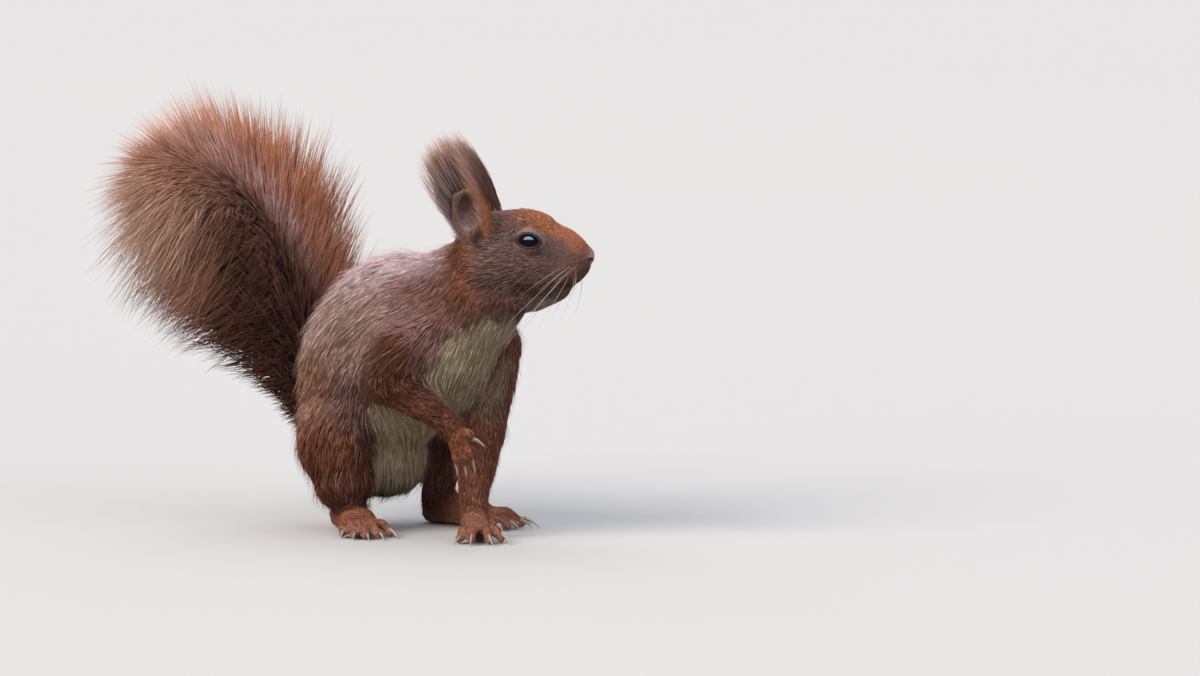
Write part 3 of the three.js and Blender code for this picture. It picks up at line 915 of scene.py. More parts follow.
def draw_lids(h, side):
    """Draws the skin in over the eyeballs from the edges of their sockets, as lids."""
    along, across, out, ring = eye_space(h)
    spoke = np.maximum(np.hypot(along, across), 1e-6)
    opening = spoke / np.maximum(ring, 1e-6)
    drawn = opening + (spoke - SOCKET_MM) * (LID_REACH_MM - opening) / (LID_REACH_MM - SOCKET_MM)
    drawn = np.maximum(drawn, 0.3 * opening)
    near = (spoke < LID_REACH_MM) & (np.abs(h[:, 1]) > BESIDE_MM) & (out > 0) & (out < LID_FRONT_MM)
    along, across, ring = along * drawn / spoke, across * drawn / spoke, drawn / opening
    # A lid stands as a thin roll on the eyeball, which shows only inside it.
    shell = EYE_RADIUS_MM + LID_LIFT_MM + 0.45 * hump(ring, 1.16, 0.14) - 2.2 * smoothstep(1.04, 0.92, ring)
    depth = np.sqrt(np.maximum(shell**2 - along**2 - across**2, 0.3))
    out = out + smoothstep(2.3, 1.25, ring) * (depth - out)
    cover = EYE_RADIUS_MM + LID_COVER_MM
    over_eye = np.sqrt(np.maximum(cover**2 - along**2 - across**2, 0))
    out = np.where(ring > LID_EDGE_RING, np.maximum(out, over_eye), out)
    lids = EYE_CENTRE_MM + along[:, None] * EYE_LONG + across[:, None] * EYE_HIGH + out[:, None] * GAZE
    lids[:, 1] *= side
    return np.where(near[:, None], lids, h)


def sculpt_head(mesh, parts):
    """Sets the lids against the eyeballs, and shapes the ears, nostrils, lips and mouth."""
    h = to_head_mm(points_of(mesh))
    side = np.where(h[:, 1] < 0, -1.0, 1.0)
    h = draw_lids(h, side)

    # The ears are drawn in from behind, where long hair fills them out, and their hollows pressed in.
    of_ear = np.isin(parts, EARS)
    behind = np.minimum(h[:, 0] + EAR_BACK_MM, 0) * smoothstep(2, 7, h[:, 2])
    h[:, 0] -= np.where(of_ear, 0.8 * behind, 0)
    h[:, 1] -= side * np.where(of_ear, 1.9 * ear_hollow(h), 0)

    # Nostrils: commas on the sides of the nose pad.
    mirrored = left_side(h)
    nostril = np.linalg.norm((mirrored - NOSTRIL_MM) / [1.2, 0.9, 0.7], axis=1)
    press = 0.9 * smoothstep(1.25, 0.3, nostril)
    h[:, 1] -= side * (press - 0.25 * hump(nostril, 1.7, 0.5))
    h[:, 0] -= 0.6 * press

    # Cleft from the nose to the lip, the line of the mouth and the pads that bear the whiskers.
    cleft = hump(h[:, 1], 0, 0.45) * smoothstep(20, 24, h[:, 0]) * smoothstep(-1.5, -3, h[:, 2])
    h[:, 0] -= 0.5 * (cleft * smoothstep(-10.5, -9, h[:, 2]))
    normal = normals_of(mesh) @ HEAD_AXES.T
    lips = smoothstep(1.2, 0.2, along_path(MOUTH_MM, mirrored)[0])
    h -= (0.75 * lips)[:, None] * normal
    pad = np.linalg.norm((mirrored - WHISKER_PAD_MM) / WHISKER_PAD_RADII, axis=1)
    h += (0.55 * smoothstep(1.3, 0.2, pad))[:, None] * normal
    set_points(mesh, from_head_mm(h))


def lid_rim(hand):
    """The bare moist edge of the lids, a soft roll all round the opening of an eye."""
    deselect()
    bpy.ops.mesh.primitive_torus_add(
        major_radius=1.0, minor_radius=LID_RIM_MM, major_segments=96, minor_segments=12, location=(0, 0, 0)
    )
    rim = bpy.context.active_object
    co = points_of(rim.data)
    turn = np.arctan2(co[:, 1], co[:, 0])
    outward, lift = np.hypot(co[:, 0], co[:, 1]) - 1, co[:, 2]
    cos, sin = np.cos(turn), np.sin(turn)
    along = EYE_HALF_LONG_MM * np.sign(cos) * np.abs(cos) ** (2 / EYE_CORNER)
    across = half_height(sin) * np.sign(sin) * np.abs(sin) ** (2 / EYE_CORNER)
    away = unit(np.stack([along, across], 1)) * (outward + LID_LIFT_MM)[:, None]
    out = np.sqrt((EYE_RADIUS_MM + LID_LIFT_MM) ** 2 - along**2 - across**2) + lift
    h = EYE_CENTRE_MM + (along + away[:, 0])[:, None] * EYE_LONG + (across + away[:, 1])[:, None] * EYE_HIGH
    h = h + out[:, None] * GAZE
    h[:, 1] *= hand
    set_points(rim.data, from_head_mm(h))
    if is_inside_out(rim.data):
        rim.data.flip_normals()
    return rim


def is_inside_out(mesh):
    """Whether the faces of a closed mesh of four-sided faces look inwards."""
    co = points_of(mesh)
    faces = np.array([list(face.vertices) for face in mesh.polygons])
    a, b, c, d = (co[faces[:, i]] - co.mean(0) for i in range(4))
    return (np.cross(a, b) * c).sum() + (np.cross(a, c) * d).sum() < 0


def toe_lines(foot):
    """For each gap between neighbouring toes, a line from between their claws back towards the foot."""
    ends = np.array([centre_of(n) for n in claws_of(foot)])
    between = (ends[1:] + ends[:-1]) / 2
    back = centre_of(foot) - between
    return [to_mm([start, start + 0.75 * way]) for start, way in zip(between, back)]


def sculpt_feet(mesh, parts):
    """Presses grooves between the toes, which the remeshing has closed."""
    co, normal = points_of(mesh), normals_of(mesh)
    p = to_mm(co)
    for foot in FEET:
        of_foot = parts == foot
        for line in toe_lines(foot):
            apart = along_path(line, p)[0]
            press = np.where(of_foot, GROOVE_MM * MM * smoothstep(1.5, 0.2, apart), 0)
            co -= press[:, None] * normal
    set_points(mesh, co)


def lie_of_the_coat(mesh, parts):
    """For each point of the skin, the way its hair lies, smoothed over the mesh."""
    co, normal = points_of(mesh), normals_of(mesh)
    h, p = to_head_mm(co), to_mm(co)
    lie = np.zeros_like(co)
    for name, direction in LIE.items():
        lie[parts == name] = unit(np.array(direction, float))
    in_head = np.isin(parts, HEAD)
    # On the head the hair runs back from the nose, down at the cheeks and nape.
    away = unit(h - LIE_STARTS_MM)
    away[:, 2] -= 0.25 * smoothstep(0, -14, h[:, 2]) + 0.9 * smoothstep(-13, -22, h[:, 0])
    away[:, 0] -= 0.3
    lie[in_head] = unit(away[in_head] @ HEAD_AXES)
    flowing = np.isin(parts, FLOWING)
    lie[flowing] = flow(p[flowing])
    lie[np.isin(parts, EARS)] = unit(np.array([-0.30, 0, 0.95]) @ HEAD_AXES)
    core = from_mm(np.array(TAIL_CORE_MM)[:, :3])
    _, place = along_path(core, co)
    step = unit(np.diff(core, axis=0))
    of_tail = parts == "tail"
    lie[of_tail] = step[np.clip(place.astype(int), 0, len(step) - 1)][of_tail]
    net = Net(mesh)
    for _ in range(45):
        lie = lie + net.mean(lie)
        lie -= (lie * normal).sum(1, keepdims=True) * normal
        lie = unit(lie)
    return lie


def shortening(co, parts):
    """How short the head's coat gets, from 1 at the nape to a quarter at the muzzle and lids."""
    h = to_head_mm(co)
    ring = eye_space(h)[3]
    short = 1 - 0.72 * smoothstep(2, 19, h[:, 0])
    short *= 1 - 0.74 * smoothstep(3.0, 1.3, ring)
    return np.where(np.isin(parts, HEAD), short, 1)


def bare_places(co, parts):
    """How much hair a point of skin grows, from 0 on bare skin to 1."""
    h, p = to_head_mm(co), to_mm(co)
    ring = eye_space(h)[3]
    mirrored = left_side(h)
    in_head, in_ear = np.isin(parts, HEAD), np.isin(parts, EARS)
    standing = np.isin(parts, FEET) & (parts != "right_fore_foot")
    to_nose = np.linalg.norm((h - NOSE_TIP_MM) / [3.2, 3.0, 3.4], axis=1)
    to_mouth = along_path(MOUTH_MM, mirrored)[0]
    hair = np.ones(len(co))
    hair *= np.where(in_head & (mirrored[:, 1] > 5), smoothstep(1.14, 1.32, ring), 1)
    hair *= np.where(in_head, smoothstep(0.72, 1.05, to_nose), 1)
    hair *= np.where(in_head, smoothstep(0.35, 0.9, to_mouth), 1)
    hair *= np.where(in_ear, 1 - 0.75 * smoothstep(0.1, 0.6, ear_hollow(h)), 1)
    hair *= np.where(standing, smoothstep(0.8, 2.0, p[:, 2]), 1)
    return hair


def marked_colour(tree):
    """The coat's ground colour with the zones laid over it, and the masks of the zones."""
    ground = add(tree, "ShaderNodeRGB")
    ground.outputs[0].default_value = palette("chestnut")
    colour, masks = ground.outputs[0], {}
    for zone in ZONES:
        masks[zone] = add(tree, "ShaderNodeAttribute", {"attribute_name": zone}).outputs["Fac"]
        laid = {0: masks[zone], 6: colour, 7: palette(zone)}
        colour = add(tree, "ShaderNodeMix", {"data_type": "RGBA"}, laid).outputs[2]
    return colour, masks


def skin_material():
    """Haired hide: the coat's ground colour, dull, with a fine grain; bare skin is smoother and moist."""
    material, tree = new_material("haired_hide")
    surface = add(tree, "ShaderNodeTexCoord").outputs["Object"]
    # Patches of slightly lighter and darker hair, about 4 mm across.
    patches = add(tree, "ShaderNodeTexNoise", None, {"Vector": surface, "Scale": 1 / (4 * MM), "Detail": 3.0})
    colour, masks = marked_colour(tree)
    shade = add(
        tree, "ShaderNodeMapRange", None, {"Value": patches.outputs["Fac"], "To Min": 0.85, "To Max": 1.1}
    )
    # Between the roots of the coat the hide lies in shade.
    hair = add(tree, "ShaderNodeAttribute", {"attribute_name": "hair"}).outputs["Fac"]
    under = add(tree, "ShaderNodeMapRange", None, {"Value": hair, "To Min": 1.0, "To Max": 0.72})
    value = add(
        tree,
        "ShaderNodeMath",
        {"operation": "MULTIPLY"},
        {0: shade.outputs["Result"], 1: under.outputs["Result"]},
    )
    shaded = add(tree, "ShaderNodeHueSaturation", None, {"Color": colour, "Value": value.outputs[0]})
    # Pores and short hair as a grain 0.35 mm across.
    grain = add(
        tree, "ShaderNodeTexNoise", None, {"Vector": surface, "Scale": 1 / (0.35 * MM), "Detail": 2.0}
    )
    bump = add(
        tree,
        "ShaderNodeBump",
        None,
        {"Height": grain.outputs["Fac"], "Strength": 0.35, "Distance": 0.15 * MM},
    )
    rough = add(tree, "ShaderNodeMapRange", None, {"Value": masks["flesh"], "To Min": 0.75, "To Max": 0.42})
    shader = add(
        tree,
        "ShaderNodeBsdfPrincipled",
        None,
        {
            "Base Color": shaded.outputs["Color"],
            "Roughness": rough.outputs["Result"],
            "Normal": bump.outputs["Normal"],
        },
    )
    add(tree, "ShaderNodeOutputMaterial", None, {"Surface": shader.outputs[0]})
    return material


class SQUIRREL_OT_skin(bpy.types.Operator):
    """Makes the one seamless skin from the solids of flesh"""

    bl_idname = "squirrel.skin"
    bl_label = "Skin"

    def execute(self, context):
        obj = join_solids("skin", FLESH, [tail_core()])
        remesh(obj, context.scene.squirrel_sizes.voxel)
        find = part_finder(FLESH)
        parts = find(points_of(obj.data))
        sink_below_the_coat(obj.data, parts)
        refine_head_and_feet(obj, parts)
        sculpt_head(obj.data, find(points_of(obj.data)))
        sculpt_feet(obj.data, find(points_of(obj.data)))
        relax(obj.data, 1)
        rims = [lid_rim(-1), lid_rim(1)]
        only(obj)
        for rim in rims:
            rim.select_set(True)
        bpy.ops.object.join()
        self.mark(obj.data, find(points_of(obj.data)))
        obj.data.shade_smooth()
        obj.data.materials.clear()
        obj.data.materials.append(skin_material())
        finish_piece(obj, "body_fur", *FLESH, *EAR_TUFTS, *TAIL)
        return {"FINISHED"}

    def mark(self, mesh, parts):
        """Keeps what the materials and the coat read: markings, hair, lie of the hair and part."""
        for name, value in markings(mesh, parts).items():
            store_float(mesh, name, value)
        store_float(mesh, "hair", bare_places(points_of(mesh), parts))
        layer = mesh.attributes.new("lie", "FLOAT_VECTOR", "POINT")
        layer.data.foreach_set("vector", lie_of_the_coat(mesh, parts).astype(np.float32).ravel())
        layer = mesh.attributes.new("part", "INT", "POINT")
        layer.data.foreach_set("value", np.array([PARTS.index(n) for n in parts], np.int32))


# ---------- eyes, claws, whiskers ----------

CORNEA_DOME_MM = 0.35  # how far the cornea stands out of the eyeball
# A claw grows from inside its toe: how far inside it starts, and how far it runs, over its solid's length.
CLAW_START, CLAW_RUN = 0.33, 1.45
CLAW_ARCH, CLAW_HOOK = 0.13, 1.2  # how high it arches over that length, and how far the tip turns down
CLAW_RADIUS_MM, CLAW_FLAT, CLAW_SIDES = 0.78, 0.62, 8
END_POINTS = 10  # points of a claw solid whose mean is its end
WHISKER_RADIUS_MM, WHISKER_SIDES = 0.12, 5
WHISKER_ROOT_MM = 0.4  # how far a whisker reaches into the skin
FLOOR_GAP = 0.05 * MM  # what stands on the floor stays this far above it


def eye_material():
    """Cornea over a brown-black iris: wet gloss that mirrors the sky."""
    material, tree = new_material("wet_cornea")
    surface = add(tree, "ShaderNodeTexCoord").outputs["Object"]
    # Faint streaks of the iris, 0.8 mm apart.
    streaks = add(tree, "ShaderNodeTexNoise", None, {"Vector": surface, "Scale": 1 / (0.8 * MM)})
    colour = add(
        tree,
        "ShaderNodeMix",
        {"data_type": "RGBA"},
        {0: streaks.outputs["Fac"], 6: paint("#0b0807"), 7: paint("#1b100c")},
    )
    shader = add(
        tree,
        "ShaderNodeBsdfPrincipled",
        None,
        {"Base Color": colour.outputs[2], "Roughness": 0.04, "IOR": 1.376},
    )
    add(tree, "ShaderNodeOutputMaterial", None, {"Surface": shader.outputs[0]})
    return material


class SQUIRREL_OT_eyes(bpy.types.Operator):
    """Makes the two eyeballs with their domed corneas"""

    bl_idname = "squirrel.eyes"
    bl_label = "Eyes"

    def execute(self, context):
        material = eye_material()
        radius = EYE_RADIUS_MM * MM
        for name, centre, hand in (("right_eye", RIGHT_EYE, -1), ("left_eye", LEFT_EYE, 1)):
            deselect()
            bpy.ops.mesh.primitive_uv_sphere_add(
                segments=64, ring_count=40, radius=radius, location=(0, 0, 0)
            )
            eye = bpy.context.active_object
            eye.name = eye.data.name = name.replace("_eye", "_eyeball")
            gaze = (GAZE * [1, hand, 1]) @ HEAD_AXES
            turn = Vector((0, 0, 1)).rotation_difference(Vector(gaze)).to_matrix()
            co = points_of(eye.data)
            dome = CORNEA_DOME_MM * MM * smoothstep(0.72, 0.97, co[:, 2] / radius)
            co += unit(co) * dome[:, None]
            set_points(eye.data, co @ np.array(turn).T + centre)
            eye.data.shade_smooth()
            eye.data.materials.append(material)
            finish_piece(eye, "eye", name)
        return {"FINISHED"}


def keratin_material(name, root, tip, roughness, ior):
    """Keratin: pale and a little glossy, darker at its root than at its tip."""
    material, tree = new_material(name)
    share = add(tree, "ShaderNodeAttribute", {"attribute_name": "share"}).outputs["Fac"]
    colour = add(tree, "ShaderNodeMix", {"data_type": "RGBA"}, {0: share, 6: root, 7: tip})
    shader = add(
        tree,
        "ShaderNodeBsdfPrincipled",
        None,
        {"Base Color": colour.outputs[2], "Roughness": roughness, "IOR": ior},
    )
    add(tree, "ShaderNodeOutputMaterial", None, {"Surface": shader.outputs[0]})
    return material


def claw_material():
    """Horn: pale, half clear and glossy, darker where it grows from the toe."""
    return keratin_material("claw_horn", paint("#b39583"), palette("horn"), 0.3, 1.54)


def whisker_material():
    """Stiff hair: pale and duller than a claw."""
    return keratin_material("whisker_keratin", paint("#a98f84"), paint("#eadfd8"), 0.35, 1.5)


def tube(path, radii, flat, sides):
    """Points and triangles of a closed tapering tube; its last point is its tip."""
    path = np.asarray(path, float)
    step = unit(np.gradient(path, axis=0))
    across = unit(np.cross(step, UP))
    above = np.cross(across, step)
    rings = []
    for i in range(len(path) - 1):
        for j in range(sides):
            turn = 2 * math.pi * j / sides
            spoke = flat * math.cos(turn) * across[i] + math.sin(turn) * above[i]
            rings.append(path[i] + radii[i] * spoke)
    rings.append(path[-1])
    triangles = [[0, j + 1, j] for j in range(1, sides - 1)]
    for i in range(len(path) - 2):
        for j in range(sides):
            a, b = i * sides + j, i * sides + (j + 1) % sides
            triangles += [[a, b, b + sides], [a, b + sides, a + sides]]
    last = (len(path) - 2) * sides
    triangles += [[last + j, last + (j + 1) % sides, len(rings) - 1] for j in range(sides)]
    return np.array(rings), np.array(triangles)


def turned_out(co, triangles):
    """Triangles of a closed tube, flipped if they face inwards."""
    a, b, c = (co[triangles[:, i]] for i in range(3))
    volume = (np.cross(a, b) * c).sum()
    return triangles if volume > 0 else triangles[:, ::-1]


def tubes_piece(name, paths, radii, shares, flat, sides, material):
    """One mesh of like tubes, none of them below the floor, with the share from root to tip."""
    co, triangles = [], []
    for path in paths:
        rings, faces = tube(path, radii, flat, sides)
        rings[:, 2] = np.maximum(rings[:, 2], FLOOR_GAP)
        faces = turned_out(rings - rings.mean(0), faces)
        triangles.append(faces + sum(len(c) for c in co))
        co.append(rings)
    share = np.append(np.repeat(shares[:-1], sides), 1.0)
    floats = {"share": np.tile(share, len(co))}
    return mesh_piece(name, np.concatenate(co), np.concatenate(triangles), material, floats)


def claw_path(node, toe, shares):
    """The line of a claw, from inside its toe over an arch to its point."""
    points = points_of(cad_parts[node].data)
    order = np.argsort(np.linalg.norm(points - toe, axis=1))
    base, tip = points[order[:END_POINTS]].mean(0), points[order[-END_POINTS:]].mean(0)
    reach = tip - base
    arch = UP * CLAW_ARCH * np.linalg.norm(reach)
    path = []
    for s in shares:
        place = base + reach * (s * CLAW_RUN - CLAW_START)
        path.append(place + arch * 4 * s * (1 - s) - arch * CLAW_HOOK * s * s)
    return path


class SQUIRREL_OT_claws(bpy.types.Operator):
    """Makes a curved horn claw over each claw solid"""

    bl_idname = "squirrel.claws"
    bl_label = "Claws"

    def execute(self, context):
        material = claw_material()
        shares = np.linspace(0, 1, 9)
        radii = CLAW_RADIUS_MM * MM * (1 - 0.9 * shares**1.5)
        for foot in FEET:
            paths = [claw_path(node, centre_of(foot), shares) for node in claws_of(foot)]
            name = foot.removesuffix("_foot") + "_claws"
            claws = tubes_piece(name, paths, radii, shares, CLAW_FLAT, CLAW_SIDES, material)
            finish_piece(claws, "horn", *claws_of(foot))
        return {"FINISHED"}


class SQUIRREL_OT_whiskers(bpy.types.Operator):
    """Makes the whiskers of the muzzle, three rows of three on each side"""

    bl_idname = "squirrel.whiskers"
    bl_label = "Whiskers"

    def execute(self, context):
        rng = np.random.default_rng(5)
        skin = bpy.data.objects["skin"]
        surface = BVHTree.FromObject(skin, context.evaluated_depsgraph_get())
        longest = context.scene.squirrel_sizes.whisker
        shares = np.linspace(0, 1, 10)
        paths = []
        for hand in (-1, 1):
            for row in range(3):
                for column in range(3):
                    at = [22.0 - 2.3 * column - 0.4 * row, 6.0 * hand, -3.6 - 1.55 * row + 0.25 * column]
                    root = np.array(surface.find_nearest(Vector(from_head_mm(at)))[0])
                    length = longest * (0.55 + 0.16 * column) * rng.uniform(0.85, 1.1)
                    start = unit(np.array([0.15 - 0.2 * column, 0.85 * hand, 0.12 - 0.22 * row]))
                    start = unit(start + rng.normal(size=3) * 0.08) @ HEAD_AXES
                    bend = np.array([-0.55, -0.15 * hand, -0.55 - 0.08 * row]) @ HEAD_AXES
                    inside = WHISKER_ROOT_MM * MM * start
                    paths.append([root + length * (s * start + 0.75 * s * s * bend) - inside for s in shares])
        radii = WHISKER_RADIUS_MM * MM * (1 - 0.85 * shares)
        piece = tubes_piece("whiskers", paths, radii, shares, 1.0, WHISKER_SIDES, whisker_material())
        finish_piece(piece, "horn")
        return {"FINISHED"}


# ---------- coat ----------

# Hair on each part: length, width and height of its tips over the skin, in mm, and tufts per share.
HAIR = {
    "head": (3.8, 0.30, 1.15, 2.6),
    "nose": (1.0, 0.2, 0.2, 4.0),
    "neck": (7.5, 0.50, 2.3, 1.1),
    "trunk": (8.8, 0.55, 2.9, 1.0),
    "right_ear": (2.0, 0.24, 0.45, 3.0),
    "left_ear": (2.0, 0.24, 0.45, 3.0),
    "right_upper_arm": (7.0, 0.48, 2.2, 1.3),
    "left_upper_arm": (6.5, 0.46, 1.9, 1.3),
    "right_forearm": (5.0, 0.40, 1.4, 1.7),
    "left_forearm": (5.0, 0.40, 1.3, 1.7),
    "right_thigh": (9.0, 0.50, 2.8, 1.2),
    "left_thigh": (8.0, 0.50, 2.5, 1.0),
    "right_shin": (6.5, 0.44, 1.8, 1.4),
    "left_shin": (5.5, 0.42, 1.4, 1.4),
    "right_hind_foot": (1.9, 0.24, 0.4, 3.2),
    "left_hind_foot": (1.9, 0.24, 0.4, 3.2),
    "left_fore_foot": (1.8, 0.24, 0.4, 3.2),
    "right_fore_foot": (1.8, 0.24, 0.4, 3.2),
    "tail": (7.0, 0.40, 1.6, 1.2),
}
PATCH = 0.003  # a tuft's share of the bake's map
MAP_EDGE = 0.03  # empty margin of each part's cell on that map
ROOT_DEPTH = 0.25 * MM  # tufts start this far inside the skin
LOCK_MM = 5.0  # size of the patches in which hair swings to one side
LEAST_HEIGHT = 0.4 * MM  # of any hair over the floor
TRUNK_LEFT = [0.743, 0.669]  # towards the trunk's left side, on the floor
# How strongly tufts lean together into locks and how many lead one, how frosted the tips are, and how
# much the painted shade of the roots is lightened: short hair hides its roots less than long hair.
HEAD_STYLE = {"lock": 0.3, "lock_share": 0.12, "frosting": 0.45, "root_light": 0.3}
EAR_STYLE = {"lock": 0.25, "lock_share": 0.12, "frosting": 0.15, "root_light": 0.4}
GUARD_STYLE = {"lock": 0.2, "lock_share": 0.2, "frosting": 0.45, "root_light": 0.3}
# How tufts are built against the hair of their part: times its length, width and height, and segments.
UNDERCOAT = (1.0, 1.0, 1.0, 2)
GUARD_HAIR = (1.45, 0.38, 1.9, 3)
TUFT_THICKNESS = 0.38  # of a tuft's width
TUFT_TAPER = [0.6, 1.0, 0.75]  # width at each station from the root


class Pelt:
    """The finished skin as arrays, with a tree for the nearest place on it."""

    def __init__(self):
        self.mesh = bpy.data.objects["skin"].data
        self.mesh.calc_loop_triangles()
        self.triangles = np.empty(len(self.mesh.loop_triangles) * 3, np.int32)
        self.mesh.loop_triangles.foreach_get("vertices", self.triangles)
        self.triangles = self.triangles.reshape(-1, 3)
        self.co, self.normal = points_of(self.mesh), normals_of(self.mesh)
        self.part = np.array(PARTS, dtype=object)[self.read("part", np.int32)]
        self.hair = self.read("hair")
        self.zones = {zone: self.read(zone) for zone in ZONES}
        self.lie = self.read("lie", width=3).reshape(-1, 3).astype(float)
        self.tree = BVHTree.FromPolygons(self.co.tolist(), self.triangles.tolist())
        self.face_lie = unit(self.lie[self.triangles].mean(1))
        a, b, c = np.moveaxis(self.co[self.triangles], 1, 0)
        self.area = np.linalg.norm(np.cross(b - a, c - a), axis=1)
        self.shape = self.hair_shape()

    def read(self, name, kind=np.float32, width=1):
        """One attribute of the skin's points."""
        values = np.empty(len(self.co) * width, kind)
        self.mesh.attributes[name].data.foreach_get("value" if width == 1 else "vector", values)
        return values

    def hair_shape(self):
        """Length, width, height and crowding of the hair at each point, smoothed from part to part."""
        shape = Net(self.mesh).spread(np.array([HAIR[n] for n in self.part]), 30)
        short = shortening(self.co, self.part)
        shape[:, 0] *= short
        shape[:, 1] *= 0.45 + 0.55 * short
        shape[:, 2] *= short
        shape[:, 3] *= 1 + 1.6 * (1 - short)
        return shape

    def scatter(self, chosen, count, rng):
        """Evenly scattered roots on the chosen points' triangles: corner numbers and weights."""
        weight = self.area * (self.hair * self.shape[:, 3] * chosen)[self.triangles].mean(1)
        total = np.cumsum(weight)
        picks = (np.arange(count) + rng.random(count)) * total[-1] / count
        face = np.minimum(np.searchsorted(total, picks), len(total) - 1)
        a, b = rng.random(count), rng.random(count)
        over = a + b > 1
        a[over], b[over] = 1 - a[over], 1 - b[over]
        return self.triangles[face], np.stack([1 - a - b, a, b], 1)


_pelt = {}


def pelt_of_skin():
    """The skin as arrays, made once."""
    if "pelt" not in _pelt:
        _pelt["pelt"] = Pelt()
    return _pelt["pelt"]


def blend_at(values, corners, weights):
    """Values of the skin's points at places between three of them."""
    if values.ndim > 1:
        weights = weights[..., None]
    return (values[corners] * weights).sum(1)


def comb(pelt, root, normal, lie, length, height, segments, rng, waviness):
    """Paths of tufts that follow the skin and the lie of the coat, from root to tip."""
    count = len(root)
    # Each tuft swings aside and lifts a little by itself, and a little together with its neighbours.
    swing = waviness * (0.13 * rng.normal(size=count) + 0.24 * ripple(to_mm(root), LOCK_MM, 3))
    side = np.cross(normal, lie)
    way = unit(np.cos(swing)[:, None] * lie + np.sin(swing)[:, None] * side)
    lift = 0.87 + waviness * rng.uniform(-0.32, 0.33, count)
    lift *= 1 + 0.18 * waviness * ripple(to_mm(root), LOCK_MM, 4)
    path = np.empty((count, segments + 1, 3))
    ups = np.empty((count, segments + 1, 3))
    path[:, 0], ups[:, 0] = root - normal * ROOT_DEPTH, normal
    foot = root.copy()
    for k in range(1, segments + 1):
        ahead = foot + way * (length / segments)[:, None]
        hits = [pelt.tree.find_nearest(Vector(p)) for p in ahead]
        foot = np.array([h[0] for h in hits])
        up = np.array([h[1] for h in hits])
        face = np.array([h[2] for h in hits])
        rise = (k / segments) ** 0.8
        ups[:, k] = unit(0.5 * up + 0.5 * ups[:, k - 1])
        path[:, k] = foot + ups[:, k] * (height * lift * rise)[:, None]
        way = unit(0.6 * way + 0.4 * pelt.face_lie[face])
        way = unit(way - (way * up).sum(1, keepdims=True) * up)
    return path, ups


def gather(path, root, share, strength, rng):
    """Draws the tips of neighbouring tufts together into locks. Returns each tuft's lock."""
    leaders = rng.choice(len(root), max(1, int(len(root) * share)), replace=False)
    tree = KDTree(len(leaders))
    for i, leader in enumerate(leaders):
        tree.insert(Vector(root[leader]), i)
    tree.balance()
    lock = np.array([tree.find(Vector(p))[1] for p in root])
    goal = path[leaders[lock]]
    steps = path.shape[1] - 1
    for k in range(1, steps + 1):
        pull = strength * (k / steps) ** 1.4
        path[:, k] += pull[:, None] * (goal[:, k] - path[:, k])
    return lock


def tufts(path, ups, width, shape):
    """Closed three-sided tapering tufts along paths: points, triangles, and each point's share of the
    way from root to tip and place across its tuft."""
    count, stations, _ = path.shape
    rings = stations - 1
    step = unit(np.gradient(path, axis=1))
    side = unit(np.cross(ups, step))
    above = np.cross(step, side)
    co = np.empty((count, 3 * rings + 1, 3))
    for k in range(rings):
        half = (width * shape[k] / 2)[:, None]
        co[:, 3 * k] = path[:, k] + side[:, k] * half
        co[:, 3 * k + 1] = path[:, k] - side[:, k] * half
        co[:, 3 * k + 2] = path[:, k] + above[:, k] * half * 2 * TUFT_THICKNESS
    co[:, -1] = path[:, -1]
    one = [[0, 2, 1]]
    for k in range(rings - 1):
        for j in range(3):
            a, b = 3 * k + j, 3 * k + (j + 1) % 3
            one += [[a, b, b + 3], [a, b + 3, a + 3]]
    last = 3 * (rings - 1)
    one += [[last + j, last + (j + 1) % 3, 3 * rings] for j in range(3)]
    one = turned_out(co[0] - co[0].mean(0), np.array(one))
    triangles = (one[None] + (np.arange(count) * co.shape[1])[:, None, None]).reshape(-1, 3)
    share = np.append(np.repeat(np.arange(rings) / rings, 3), 1.0)
    across = np.append(np.tile([0.5, -0.5, 0.0], rings), 0.0)
    return co, triangles, share, across


def unwrap(root, parts):
    """Each root's place on the bake's map: every part is rolled out round its own long axis."""
    names = sorted(set(parts))
    cells = int(math.ceil(math.sqrt(len(names))))
    uv = np.zeros((len(root), 2))
    for i, name in enumerate(names):
        mine = parts == name
        p = root[mine] - root[mine].mean(0)
        axes = np.linalg.svd(p.T @ p)[0].T
        turn = np.arctan2(p @ axes[1], p @ axes[2]) / (2 * math.pi) + 0.5
        run = p @ axes[0]
        run = (run - run.min()) / max(run.max() - run.min(), 1e-9)
        cell = np.array([i % cells, i // cells])
        uv[mine] = (cell + MAP_EDGE + (1 - 2 * MAP_EDGE) * np.stack([turn, run], 1)) / cells
    return uv


def hair_piece(name, co, triangles, share, across, uv_root, zones, tone):
    """A piece of coat from its tufts, with its colours as attributes and its map for the bake."""
    count, per = co.shape[:2]
    floats = {}
    for zone, value in zones.items():
        by_point = value if value.ndim > 1 else np.repeat(value[:, None], per, 1)
        floats[zone] = by_point.ravel()
    floats["share"] = np.tile(share, count)
    floats["tone"] = np.repeat(tone, per)
    uv = uv_root[:, None, :] + PATCH * np.stack([across, share - 0.5], 1)[None]
    uv = np.clip(uv.reshape(-1, 2), 0, 1)
    return mesh_piece(name, co.reshape(-1, 3), triangles, coat_material(), floats, uv)


